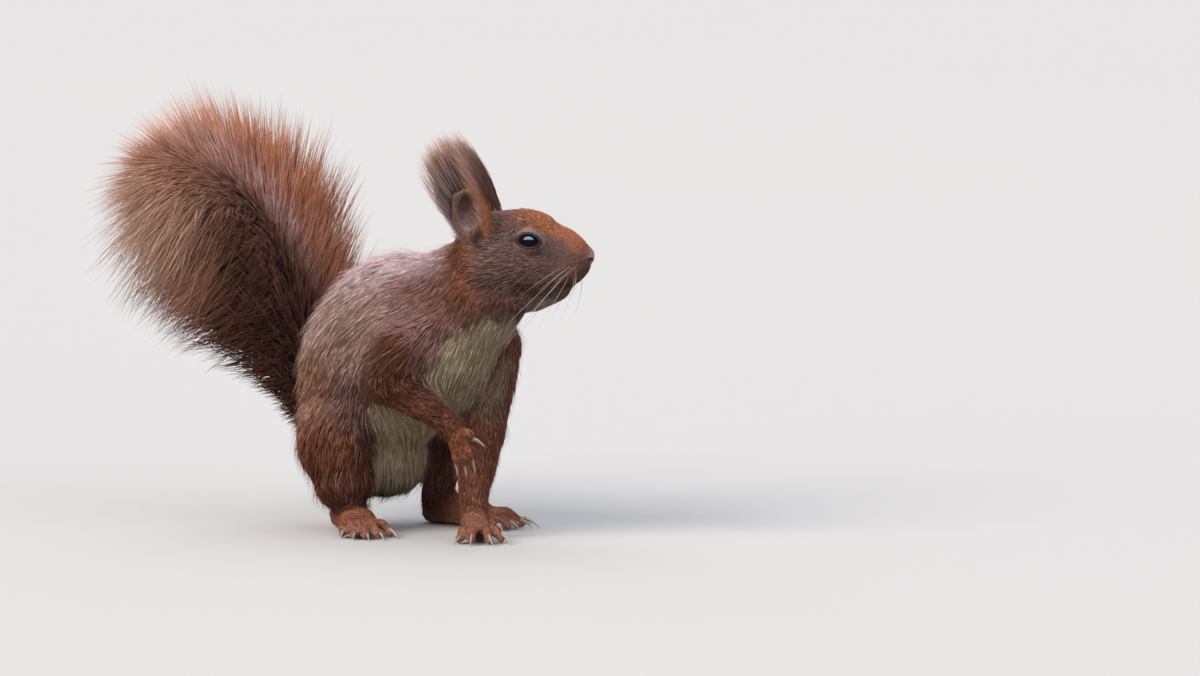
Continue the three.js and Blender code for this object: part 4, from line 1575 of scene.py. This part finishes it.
def coat_material():
    """Winter hair: dull keratin whose roots lie in shade and whose tips catch the light."""
    material = bpy.data.materials.get("winter_hair")
    if material:
        return material
    material, tree = new_material("winter_hair")
    colour, _ = marked_colour(tree)
    share = add(tree, "ShaderNodeAttribute", {"attribute_name": "share"}).outputs["Fac"]
    tone = add(tree, "ShaderNodeAttribute", {"attribute_name": "tone"}).outputs["Fac"]
    # Single hairs show as fine lighter and darker lines along each tuft.
    place = add(tree, "ShaderNodeUVMap", {"uv_map": "OFBake"}).outputs["UV"]
    strands = add(
        tree, "ShaderNodeMapping", None, {"Vector": place, "Scale": (5 / PATCH, 1 / PATCH, 1.0)}
    ).outputs["Vector"]
    strand = add(tree, "ShaderNodeTexNoise", None, {"Vector": strands, "Scale": 1.0, "Detail": 2.0})
    by_strand = add(
        tree,
        "ShaderNodeMapRange",
        None,
        {"Value": strand.outputs["Fac"], "From Min": 0.3, "From Max": 0.7, "To Min": 0.74, "To Max": 1.26},
    )
    # Roots are darker than tips, a painted shade between the hairs, and tips a little lighter than the ground
    # colour, a painted light; tufts differ a little from each other.
    by_share = add(tree, "ShaderNodeMapRange", None, {"Value": share, "To Min": 0.66, "To Max": 1.14})
    by_tone = add(tree, "ShaderNodeMapRange", None, {"Value": tone, "To Min": 0.72, "To Max": 1.30})
    value = by_strand.outputs["Result"]
    for factor in (by_share, by_tone):
        value = add(
            tree, "ShaderNodeMath", {"operation": "MULTIPLY"}, {0: value, 1: factor.outputs["Result"]}
        ).outputs[0]
    shaded = add(tree, "ShaderNodeHueSaturation", None, {"Color": colour, "Value": value})
    shader = add(
        tree,
        "ShaderNodeBsdfPrincipled",
        None,
        {
            "Base Color": shaded.outputs["Color"],
            "Roughness": 0.6,
            "Specular IOR Level": 0.06,
            "Sheen Weight": 0.10,
            "Sheen Roughness": 0.45,
        },
    )
    add(tree, "ShaderNodeOutputMaterial", None, {"Surface": shader.outputs[0]})
    return material


def grow_coat(
    name, chosen, count, slot, seed, lock=0.6, lock_share=0.08, frosting=0.1, root_light=0.0, build=UNDERCOAT
):
    """One piece of coat, of count tufts, over the chosen points of the skin."""
    pelt = pelt_of_skin()
    rng = np.random.default_rng(seed)
    corners, weights = pelt.scatter(chosen.astype(float), count, rng)
    root = blend_at(pelt.co, corners, weights)
    normal = unit(blend_at(pelt.normal, corners, weights))
    lie = unit(blend_at(pelt.lie, corners, weights))
    shape = blend_at(pelt.shape, corners, weights)
    zones = {zone: blend_at(values, corners, weights) for zone, values in pelt.zones.items()}
    cream = zones["cream"]
    longer, wider, higher, segments = build
    length = longer * shape[:, 0] * MM * rng.uniform(0.75, 1.2, count)
    width = wider * shape[:, 1] * MM * rng.uniform(0.75, 1.25, count) * (1 - 0.35 * cream)
    height = higher * shape[:, 2] * MM
    path, ups = comb(pelt, root, normal, lie, length, height, segments, rng, 1 - 0.6 * cream)
    locks = gather(path, root, lock_share, lock * (1 - 0.7 * cream), rng)
    path[:, :, 2] = np.maximum(path[:, :, 2], LEAST_HEIGHT)
    co, triangles, share, across = tufts(path, ups, width, TUFT_TAPER)
    # Locks and tufts differ in tone and in how frosted their tips are, less so on the white front.
    lock_tone, lock_frost = rng.random(locks.max() + 1), rng.random(locks.max() + 1)
    uneven = 1 - 0.75 * cream
    tone = 0.5 + uneven * (0.75 * (rng.random(count) - 0.5) + 0.5 * (lock_tone[locks] - 0.5))
    tone = np.clip(tone + 0.1 * cream, 0, 1)
    frosted = smoothstep(0.5, 1.0, 0.3 * lock_frost[locks] + 0.7 * rng.random(count)) * frosting * 2
    frosted *= uneven * (1 - zones["flesh"])
    tips = frosted[:, None] * smoothstep(0.3, 1.0, share)[None, :]
    zones["pale"] = np.clip(zones["pale"][:, None] + tips, 0, 1)
    # Short hair gets less painted shade at its roots.
    share = root_light + (1 - root_light) * share
    parts = pelt.part[corners[:, 0]]
    piece = hair_piece(name, co, triangles, share, across, unwrap(root, parts), zones, tone)
    finish_piece(piece, slot)


class SQUIRREL_OT_head_coat(bpy.types.Operator):
    """Grows the short coat of the head, right and left, and of the ears"""

    bl_idname = "squirrel.head_coat"
    bl_label = "Head coat"

    def execute(self, context):
        pelt = pelt_of_skin()
        h = to_head_mm(pelt.co)
        # The hair stands closer towards the nose, where it is shortest.
        on_head = np.isin(pelt.part, HEAD) * (1 + 2.2 * smoothstep(9, 20, h[:, 0]))
        left = h[:, 1] > 0
        grow_coat("head_coat_right", on_head * ~left, 14500, "head_fur", 21, **HEAD_STYLE)
        grow_coat("head_coat_left", on_head * left, 10800, "head_fur", 22, **HEAD_STYLE)
        grow_coat("ear_coat", np.isin(pelt.part, EARS), 4500, "ear_fur", 23, **EAR_STYLE)
        return {"FINISHED"}


class SQUIRREL_OT_body_coat(bpy.types.Operator):
    """Grows the coat of the neck and the trunk, right and left"""

    bl_idname = "squirrel.body_coat"
    bl_label = "Body coat"

    def execute(self, context):
        pelt = pelt_of_skin()
        left = to_mm(pelt.co)[:, :2] @ TRUNK_LEFT > 0
        on_trunk = pelt.part == "trunk"
        grow_coat("neck_coat", pelt.part == "neck", 9500, "body_fur", 31, lock=0.45)
        grow_coat("trunk_coat_right", on_trunk & ~left, 18000, "body_fur", 32, lock=0.5)
        grow_coat("trunk_coat_left", on_trunk & left, 13500, "body_fur", 33, lock=0.5)
        return {"FINISHED"}


class SQUIRREL_OT_guard_hair(bpy.types.Operator):
    """Grows sparse long hairs that stand out of the coat of the body and legs"""

    bl_idname = "squirrel.guard_hair"
    bl_label = "Guard hair"

    def execute(self, context):
        pelt = pelt_of_skin()
        chosen = np.isin(pelt.part, TRUNK + ARMS + HIND_LEGS)
        grow_coat("guard_hair", chosen, 4500, "body_fur", 35, build=GUARD_HAIR, **GUARD_STYLE)
        return {"FINISHED"}


class SQUIRREL_OT_leg_coat(bpy.types.Operator):
    """Grows the coat of the fore and hind legs and feet"""

    bl_idname = "squirrel.leg_coat"
    bl_label = "Leg coat"

    def execute(self, context):
        pelt = pelt_of_skin()
        fore = np.isin(pelt.part, ARMS + ["left_fore_foot", "right_fore_foot"])
        hind = np.isin(pelt.part, HIND_LEGS + ["left_hind_foot", "right_hind_foot"])
        grow_coat("fore_leg_coat", fore, 14300, "leg_fur", 41, lock=0.4)
        grow_coat("hind_leg_coat", hind, 17500, "leg_fur", 42, lock=0.45)
        return {"FINISHED"}


# ---------- long hair ----------

OUTLINE_SPACING = 1.6 * MM  # of the mesh of a brush's outer surface
OUTLINE_ROUNDS = 6  # of smoothing of that surface
LONG_ROOT = 0.3 * MM  # hair of the ear tufts starts this far inside the skin
EAR_TUFT_COUNT, TAIL_HAIR_COUNT = 1750, 21000
FACE_SHARE = 0.36  # share of the tail's hair that grows on its two faces
# Along the flat of the tail's brush.
TAIL_FLAT = np.array([math.cos(math.radians(24)), math.sin(math.radians(24)), 0.0])


def envelope(nodes):
    """A tree of the outer surface of some hair solids joined together."""
    whole = join_solids("outline", nodes)
    remesh(whole, OUTLINE_SPACING)
    relax(whole.data, OUTLINE_ROUNDS)
    tree = BVHTree.FromObject(whole, bpy.context.evaluated_depsgraph_get())
    bpy.data.objects.remove(whole)
    return tree


def reach_to(tree, root, way, most, otherwise):
    """How far a hair may run from its root before it leaves the outline."""
    reach = np.empty(len(root))
    for i, (p, d) in enumerate(zip(root, way)):
        hit = tree.ray_cast(Vector(p), Vector(d), most)
        reach[i] = hit[3] if hit[0] is not None else otherwise
    return reach


def arcs(root, first, last, length, segments):
    """Paths that leave a root one way and end another."""
    path = np.empty((len(root), segments + 1, 3))
    for k, s in enumerate(np.linspace(0, 1, segments + 1)):
        path[:, k] = root + length[:, None] * (s * (1 - 0.5 * s) * first + 0.5 * s * s * last)
    return path


class SQUIRREL_OT_ear_tufts(bpy.types.Operator):
    """Grows the long winter hair of the ears"""

    bl_idname = "squirrel.ear_tufts"
    bl_label = "Ear tufts"

    def execute(self, context):
        for name, hand, seed in (("right_ear", -1, 51), ("left_ear", 1, 52)):
            self.grow(name, hand, np.random.default_rng(seed))
        return {"FINISHED"}

    def springs(self, pelt, name, hand):
        """Where the hair springs from: the back, the tip and the front edge, never the hollow."""
        h = to_head_mm(pelt.co)
        open_side = (pelt.normal @ HEAD_AXES.T) @ unit(np.array([0.30, 0.95 * hand, 0.0]))
        on_back = smoothstep(0.35, 0.0, open_side)
        on_edge = smoothstep(-10.0, -8.0, h[:, 0] + 0.36 * (h[:, 2] - 8))
        chosen = (pelt.part == name) * np.maximum(on_back, 0.55 * on_edge)
        return chosen * (h[:, 2] > 4) * (ear_hollow(h) < 0.05)

    def grow(self, name, hand, rng):
        """The brush of one ear."""
        pelt, count = pelt_of_skin(), EAR_TUFT_COUNT
        corners, weights = pelt.scatter(self.springs(pelt, name, hand), count, rng)
        root = blend_at(pelt.co, corners, weights)
        normal = unit(blend_at(pelt.normal, corners, weights))
        forward, _, up = to_head_mm(root).T
        # The brush leans back: hair of the front edge rises first and bends back towards its tip.
        behind = np.clip((-forward - 8.5) / 13 + rng.normal(size=count) * 0.10, -0.1, 1.15)
        drift = rng.normal(size=count) * 0.05 + 0.06 * hand
        # How steeply each hair starts and ends, in degrees: less steeply low down at the back.
        low = 20 * smoothstep(16, 7, up) * smoothstep(0.4, 0.8, behind)
        ways = []
        for lean in (70 - 12 * behind, 45 + 16 * behind):
            angle = np.radians(lean - low + rng.normal(size=count) * 3.5)
            ways.append(unit(np.stack([-np.cos(angle), drift, np.sin(angle)], 1)) @ HEAD_AXES)
        first, last = unit(ways[0] + 0.15 * normal), ways[1]
        start = root - LONG_ROOT * normal
        reach = reach_to(envelope([name + "_tuft", name]), start, unit(first + last), 60 * MM, 8 * MM)
        length = reach * (0.45 + 0.62 * rng.random(count) ** 0.7) * np.where(up < 11, 0.8, 1)
        path = arcs(start, first, last, np.clip(length, 3.5 * MM, 39 * MM), 4)
        path += rng.normal(size=(count, 1, 3)) * np.linspace(0, 1, 5)[None, :, None] ** 2 * 0.7 * MM
        locks = gather(path, root, 0.07, np.full(count, 0.25), rng)
        lock_tone = rng.random(locks.max() + 1)
        tone = np.clip(0.36 + 0.55 * rng.random(count) + 0.5 * (lock_tone[locks] - 0.5), 0, 1)
        ups = np.repeat(unit(normal * [1, 1, 0.2] + [0, -0.4, 0])[:, None], 5, 1)
        width = 0.24 * MM * rng.uniform(0.7, 1.25, count)
        co, triangles, share, across = tufts(path, ups, width, [0.9, 1, 0.8, 0.5])
        outer = smoothstep(-0.3, 0.4, hand * (normal @ HEAD_LEFT))
        zones = self.zones(outer[:, None], behind[:, None], share[None, :], rng)
        place = unwrap(root, np.full(count, name, dtype=object))
        piece = hair_piece(name + "_tuft_hair", co, triangles, share, across, place, zones, tone)
        finish_piece(piece, "tuft_hair", name + "_tuft")

    def zones(self, outer, behind, share, rng):
        """Rusty in front, frosted behind, dusky at the roots, painted shade on the inner side, pale at the
        tips.
        """
        count = len(outer)
        tips = smoothstep(0.45, 1.0, share)
        front = outer * smoothstep(0.40, 0.10, behind) * smoothstep(0.9, 0.3, share)
        zones = {zone: np.zeros((count, share.size)) for zone in ZONES}
        zones["umber"] += 0.5
        zones["lilac"] = 0.95 * outer * smoothstep(0.20, 0.70, behind) + 0.15 * tips
        zones["orange"] = 0.75 * front
        zones["dark"] = 0.26 * (rng.random(count) ** 1.5)[:, None] * (1 - tips) * (1 - front)
        # Painted shade on the inner side of the tuft.
        zones["dark"] += 0.25 * (1 - outer)
        zones["pale"] = 0.9 * tips * rng.random((count, 1)) ** 0.7
        return zones


def along_the_core(station):
    """The tail's middle, its direction and its thickness at places along its core."""
    core = np.array(TAIL_CORE_MM)
    index = np.clip(station.astype(int), 0, len(core) - 2)
    part = (station - index)[:, None]
    middle = from_mm(core[index, :3] * (1 - part) + core[index + 1, :3] * part)
    steps = unit(np.gradient(core[:, :3], axis=0))
    along = unit(steps[index] * (1 - part) + steps[index + 1] * part)
    thick = np.interp(station, np.arange(len(core)), core[:, 3]) * MM
    return middle, along, thick


class SQUIRREL_OT_tail_hair(bpy.types.Operator):
    """Grows the brush of the tail in its four lengths"""

    bl_idname = "squirrel.tail_hair"
    bl_label = "Tail hair"

    def execute(self, context):
        rng = np.random.default_rng(61)
        outline = envelope(TAIL)
        count, stations = TAIL_HAIR_COUNT, len(TAIL_CORE_MM)
        station = 1.2 + (stations - 2.2) * rng.random(count) ** 0.8
        up = station / (stations - 1)
        middle, along, thick = along_the_core(station)
        right = unit(TAIL_FLAT - (along @ TAIL_FLAT)[:, None] * along)
        through = np.cross(right, along)
        # Hair parts to both sides of the tail; what grows on its two faces turns aside as well.
        on_face = rng.random(count) < FACE_SHARE
        turn = rng.normal(size=count) * 0.55 + np.where(rng.random(count) < 0.5, 0, math.pi)
        face_turn = rng.normal(size=count) * 0.7 + math.pi * (0.5 + (rng.random(count) < 0.5))
        turn = np.where(on_face, face_turn, turn)
        out = np.cos(turn)[:, None] * right + np.sin(turn)[:, None] * through
        # Only at the tail's end does hair grow from its middle as well.
        depth = thick * 0.8 * rng.random(count) ** (2 * smoothstep(0.9, 1.0, up))
        root = middle + out * depth[:, None]
        leftward = smoothstep(0.25, -0.25, np.cos(turn))
        # Angle from the tail's own line: closed on the upper side, open and drooping on the lower side.
        splay = 46 + 38 * leftward + rng.normal(size=count) * 9
        splay = np.where(on_face, 22 + 34 * rng.random(count), splay)
        at_end = smoothstep(0.72, 1.0, up)
        end_splay = at_end * rng.random(count) ** 1.5 * (64 + 20 * leftward)
        splay = np.radians((1 - at_end) * splay + end_splay)
        first = unit(np.cos(splay)[:, None] * along + np.sin(splay)[:, None] * out)
        droop = (0.62 * leftward * smoothstep(0.2, 0.6, up))[:, None]
        last = unit(first + 0.18 * (1 - leftward)[:, None] * along - droop * UP)
        reach = reach_to(outline, root, unit(first + last), 90 * MM, 18 * MM)
        length = reach * (0.66 + 0.52 * rng.random(count) ** 1.3) * (1 + 0.12 * at_end)
        longest = context.scene.squirrel_sizes.tail_hair * rng.uniform(0.85, 1.1, count)
        length = np.clip(length, 7 * MM, longest)
        path = arcs(root, first, last, length, 3)
        bend = np.linspace(0, 1, 4)[None, :, None]
        swirl = np.stack([ripple(to_mm(path[:, 2]), 6.0, s) for s in (71, 72, 73)], 1)
        path += swirl[:, None, :] * bend**1.6 * (0.04 * length)[:, None, None]
        path += rng.normal(size=(count, 1, 3)) * bend**1.5 * (0.045 * length)[:, None, None]
        locks = gather(path, path[:, 2].copy(), 0.07, np.full(count, 0.12), rng)
        lock_tone, lock_hue = rng.random(locks.max() + 1), rng.random(locks.max() + 1)
        tone = np.clip(0.55 + 0.5 * (rng.random(count) - 0.5) + 0.25 * (lock_tone[locks] - 0.5), 0, 1)
        facing = np.where(np.sin(turn) < 0, -1.0, 1.0)[:, None] * through
        ups = np.repeat(unit(facing + 0.3 * out)[:, None], 4, 1)
        width = 0.34 * MM * rng.uniform(0.7, 1.3, count)
        aside = ((path - middle[:, None]) * right[:, None]).sum(2) / MM
        zones = self.zones(up, aside, lock_hue[locks], rng.random(count))
        round_it = ((turn + math.pi / 2) % (2 * math.pi)) / (2 * math.pi)
        self.pieces(path, ups, width, up, round_it, zones, tone)
        return {"FINISHED"}

    def pieces(self, path, ups, width, up, round_it, zones, tone):
        """Four pieces from the root to the tip, each unrolled on a map of its own."""
        quarter = np.searchsorted(np.quantile(up, [0.25, 0.5, 0.75]), up)
        for i in range(4):
            mine = quarter == i
            co, triangles, share, across = tufts(path[mine], ups[mine], width[mine], [0.8, 1.0, 0.8])
            own = {key: value[mine] for key, value in zones.items()}
            run = (up[mine] - up[mine].min()) / (up[mine].max() - up[mine].min())
            place = 0.02 + 0.96 * np.stack([run, round_it[mine]], 1)
            name = f"tail_hair_{i + 1}"
            piece = hair_piece(name, co, triangles, share, across, place, own, tone[mine])
            finish_piece(piece, "tail_fur", f"tail_{i + 1}")

    def zones(self, up, aside, hue, chance):
        """Dark at the root and below, grey along the middle, rusty at the fringe, sandy at the tips."""
        up, hue, chance = up[:, None], hue[:, None], chance[:, None]
        s = np.linspace(0, 1, aside.shape[1])[None, :]
        far = np.abs(aside)
        low = smoothstep(0.62, 0.36, up + 0.26 * smoothstep(0, 22, aside))
        right = smoothstep(-4, 8, aside)
        band = smoothstep(-46, -20, aside) * (1 - right) * smoothstep(0.95, 0.62, up)
        at_end = smoothstep(0.66, 0.88, up)
        zones = {zone: np.zeros_like(aside) for zone in ZONES}
        dark = 0.97 * low * (1 - 0.25 * smoothstep(0.75, 1, s)) + 0.80 * band * (1 - low)
        zones["dark"] = dark + 0.22 * smoothstep(-8, -30, aside) * (1 - at_end) * (1 - low)
        zones["red"] = right * smoothstep(6, 16, aside) * 0.9 + 0.55 * (1 - right)
        zones["orange"] = 0.7 * smoothstep(0.35, 0.8, hue) * np.maximum(smoothstep(10, 20, far), 0.7 * at_end)
        grey = smoothstep(-9, 3, aside) * smoothstep(19, 4, aside) * smoothstep(0.36, 0.56, up)
        zones["lilac"] = 0.62 * grey * smoothstep(0.25, 0.75, 0.5 * chance + 0.5 * hue)
        sandy = (0.20 + 0.50 * at_end) * smoothstep(-22, -42, aside) + 0.30 * at_end
        sandy = sandy + 0.55 * smoothstep(0.72, 1, up) * smoothstep(4, 24, far)
        strands = smoothstep(0.28, 0.12, hue) * smoothstep(12, 22, aside)
        zones["pale"] = sandy + 0.35 * strands + 0.30 * smoothstep(0.6, 1, s) * (0.4 + 0.6 * chance)
        zones["pale"] *= 1 - 0.8 * low
        points = {}
        for zone, value in zones.items():
            value = np.clip(value, 0, 1)
            points[zone] = np.concatenate([np.repeat(value[:, :-1], 3, axis=1), value[:, -1:]], 1)
        return points


# ---------- stage ----------

TARGET_MM = [74.07, 0.0, 70.76]  # what the camera looks at, on the maker's axes
VIEW_WIDTH = 444.4 * MM  # how much the picture takes in at the model
CAMERA_DISTANCE = 6.0
CAMERA_RISE = math.radians(6)
SENSOR_MM = 36.0
FLOOR_EDGE = 24
# Sun lamps: where each stands, how wide it is in degrees, its strength and its colour.
LAMPS = {
    "key": ((-1.00, -0.70, 0.85), 40, 2.5, "#fff4ea"),
    "back": ((-0.25, 0.9, 1.0), 50, 0.85, "#eef2ff"),
    "fill": ((0.9, -1.0, 0.4), 70, 0.84, "#f8f5f6"),
}
# The gap of sky that the eyes mirror: the directions across and up it, over its half sizes.
GAP_WIDE, GAP_HIGH = (1 / 0.72, 0.0, 0.0), (0.0, 0.743 / 0.30, 0.669 / 0.30)


def add_camera(scene):
    """A long lens, a little above the squirrel's middle."""
    camera = bpy.data.objects.new("camera", bpy.data.cameras.new("camera"))
    scene.collection.objects.link(camera)
    back = Vector((0, -math.cos(CAMERA_RISE), math.sin(CAMERA_RISE)))
    camera.location = Vector(from_mm(TARGET_MM)) + back * CAMERA_DISTANCE
    camera.rotation_mode = "QUATERNION"
    camera.rotation_quaternion = (-back).to_track_quat("-Z", "Y")
    camera.data.sensor_width = SENSOR_MM
    camera.data.lens = SENSOR_MM * CAMERA_DISTANCE / VIEW_WIDTH
    camera.data.clip_end = 60
    scene.camera = camera


def paper_material():
    """Matt studio paper, a touch warmer in patches a metre wide."""
    material, tree = new_material("seamless_paper")
    surface = add(tree, "ShaderNodeTexCoord").outputs["Object"]
    cloud = add(tree, "ShaderNodeTexNoise", None, {"Vector": surface, "Scale": 1.0})
    patches = {0: cloud.outputs["Fac"], 6: palette("floor"), 7: paint("#d9d6d2")}
    tint = add(tree, "ShaderNodeMix", {"data_type": "RGBA"}, patches)
    # Seen by the camera it is pale; it throws less light back, so that undersides stay shaded.
    seen = add(tree, "ShaderNodeLightPath").outputs["Is Camera Ray"]
    lit = {0: seen, 6: paint("#7d766e"), 7: tint.outputs[2]}
    colour = add(tree, "ShaderNodeMix", {"data_type": "RGBA"}, lit).outputs[2]
    shader = add(
        tree,
        "ShaderNodeBsdfPrincipled",
        None,
        {"Base Color": colour, "Roughness": 0.9, "Specular IOR Level": 0.0},
    )
    add(tree, "ShaderNodeOutputMaterial", None, {"Surface": shader.outputs[0]})
    return material


def add_floor():
    """The sheet of paper that the squirrel stands on."""
    deselect()
    bpy.ops.mesh.primitive_plane_add(size=FLOOR_EDGE, location=(0, 0, 0))
    floor = bpy.context.active_object
    floor.name = floor.data.name = "floor"
    floor.data.materials.append(paper_material())


def add_lamps(scene):
    """Soft lamps from the front left, from behind and from the front right."""
    for name, (place, width, strength, colour) in LAMPS.items():
        lamp = bpy.data.objects.new(name, bpy.data.lights.new(name, "SUN"))
        scene.collection.objects.link(lamp)
        lamp.data.angle = math.radians(width)
        lamp.data.energy = strength
        lamp.data.color = linear(colour)
        lamp.visible_glossy = False  # the eyes mirror the sky only
        lamp.rotation_mode = "QUATERNION"
        lamp.rotation_quaternion = Vector(place).to_track_quat("Z", "Y")


def sky_gap(tree, way, height):
    """The strength of what wet and glossy surfaces mirror: a gap of open sky, wider than high, above
    a dark wood."""
    offsets = []
    for axis in GAP_WIDE, GAP_HIGH:
        dot = add(tree, "ShaderNodeVectorMath", {"operation": "DOT_PRODUCT"}, {0: way, 1: axis})
        offsets.append(dot.outputs["Value"])
    offset = add(tree, "ShaderNodeCombineXYZ", None, {"X": offsets[0], "Y": offsets[1]}).outputs[0]
    distance = add(tree, "ShaderNodeVectorMath", {"operation": "LENGTH"}, {0: offset}).outputs["Value"]
    gap = add(
        tree,
        "ShaderNodeMapRange",
        {"interpolation_type": "SMOOTHSTEP"},
        {"Value": distance, "From Min": 1.15, "From Max": 0.75, "To Min": 0.0, "To Max": 1.0},
    ).outputs["Result"]
    above = add(tree, "ShaderNodeMapRange", None, {"Value": height, "From Min": 0.1, "From Max": 0.35})
    both = {0: gap, 1: above.outputs["Result"]}
    gap = add(tree, "ShaderNodeMath", {"operation": "MULTIPLY"}, both).outputs[0]
    return add(tree, "ShaderNodeMapRange", None, {"Value": gap, "To Min": 0.18, "To Max": 20.0})


def studio_sky():
    """A broad soft light overhead that fades towards the horizon, and what the eyes mirror."""
    world = bpy.data.worlds.new("studio")
    world.use_nodes = True
    tree = world.node_tree
    tree.nodes.clear()
    way = add(tree, "ShaderNodeTexCoord").outputs["Generated"]
    height = add(tree, "ShaderNodeSeparateXYZ", None, {"Vector": way}).outputs["Z"]
    bright = add(
        tree,
        "ShaderNodeMapRange",
        {"interpolation_type": "SMOOTHSTEP"},
        {"Value": height, "From Min": 0.05, "From Max": 0.95, "To Min": 0.12, "To Max": 0.85},
    )
    mirrored = add(tree, "ShaderNodeLightPath").outputs["Is Glossy Ray"]
    strengths = {0: mirrored, 2: bright.outputs["Result"], 3: sky_gap(tree, way, height).outputs["Result"]}
    strength = add(tree, "ShaderNodeMix", {"data_type": "FLOAT"}, strengths).outputs[0]
    colours = {0: mirrored, 6: paint("#e2eaf6"), 7: paint("#b6dcff")}
    tint = add(tree, "ShaderNodeMix", {"data_type": "RGBA"}, colours).outputs[2]
    sky = add(tree, "ShaderNodeBackground", None, {"Color": tint, "Strength": strength})
    add(tree, "ShaderNodeOutputWorld", None, {"Surface": sky.outputs[0]})
    return world


class SQUIRREL_OT_stage(bpy.types.Operator):
    """Sets the camera, the pale floor and the soft studio light"""

    bl_idname = "squirrel.stage"
    bl_label = "Stage"

    def execute(self, context):
        context.scene.view_settings.view_transform = "Standard"
        add_camera(context.scene)
        add_floor()
        add_lamps(context.scene)
        context.scene.world = studio_sky()
        return {"FINISHED"}


# ---------- panel and registration ----------

OPERATORS = [
    SQUIRREL_OT_stage,
    SQUIRREL_OT_skin,
    SQUIRREL_OT_eyes,
    SQUIRREL_OT_claws,
    SQUIRREL_OT_whiskers,
    SQUIRREL_OT_head_coat,
    SQUIRREL_OT_body_coat,
    SQUIRREL_OT_leg_coat,
    SQUIRREL_OT_guard_hair,
    SQUIRREL_OT_ear_tufts,
    SQUIRREL_OT_tail_hair,
]


class SQUIRREL_PT_panel(bpy.types.Panel):
    """Lists the squirrel's sizes, colours and pieces"""

    bl_idname = "SQUIRREL_PT_panel"
    bl_label = "Red squirrel"
    bl_space_type = "VIEW_3D"
    bl_region_type = "UI"
    bl_category = "Squirrel"

    def draw(self, context):
        for group in (context.scene.squirrel_sizes, context.scene.squirrel_colours):
            for name in group.__annotations__:
                self.layout.prop(group, name)
        for operator in OPERATORS:
            self.layout.operator(operator.bl_idname)


CLASSES = [SquirrelSizes, SquirrelColours, *OPERATORS, SQUIRREL_PT_panel]


def register():
    for cls in CLASSES:
        bpy.utils.register_class(cls)
    bpy.types.Scene.squirrel_sizes = bpy.props.PointerProperty(type=SquirrelSizes)
    bpy.types.Scene.squirrel_colours = bpy.props.PointerProperty(type=SquirrelColours)


def unregister():
    del bpy.types.Scene.squirrel_colours
    del bpy.types.Scene.squirrel_sizes
    for cls in reversed(CLASSES):
        bpy.utils.unregister_class(cls)


def main():
    """Builds the stage and every piece."""
    register()
    for operator in OPERATORS:
        group, name = operator.bl_idname.split(".")
        getattr(getattr(bpy.ops, group), name)()


if __name__ == "__main__":
    main()
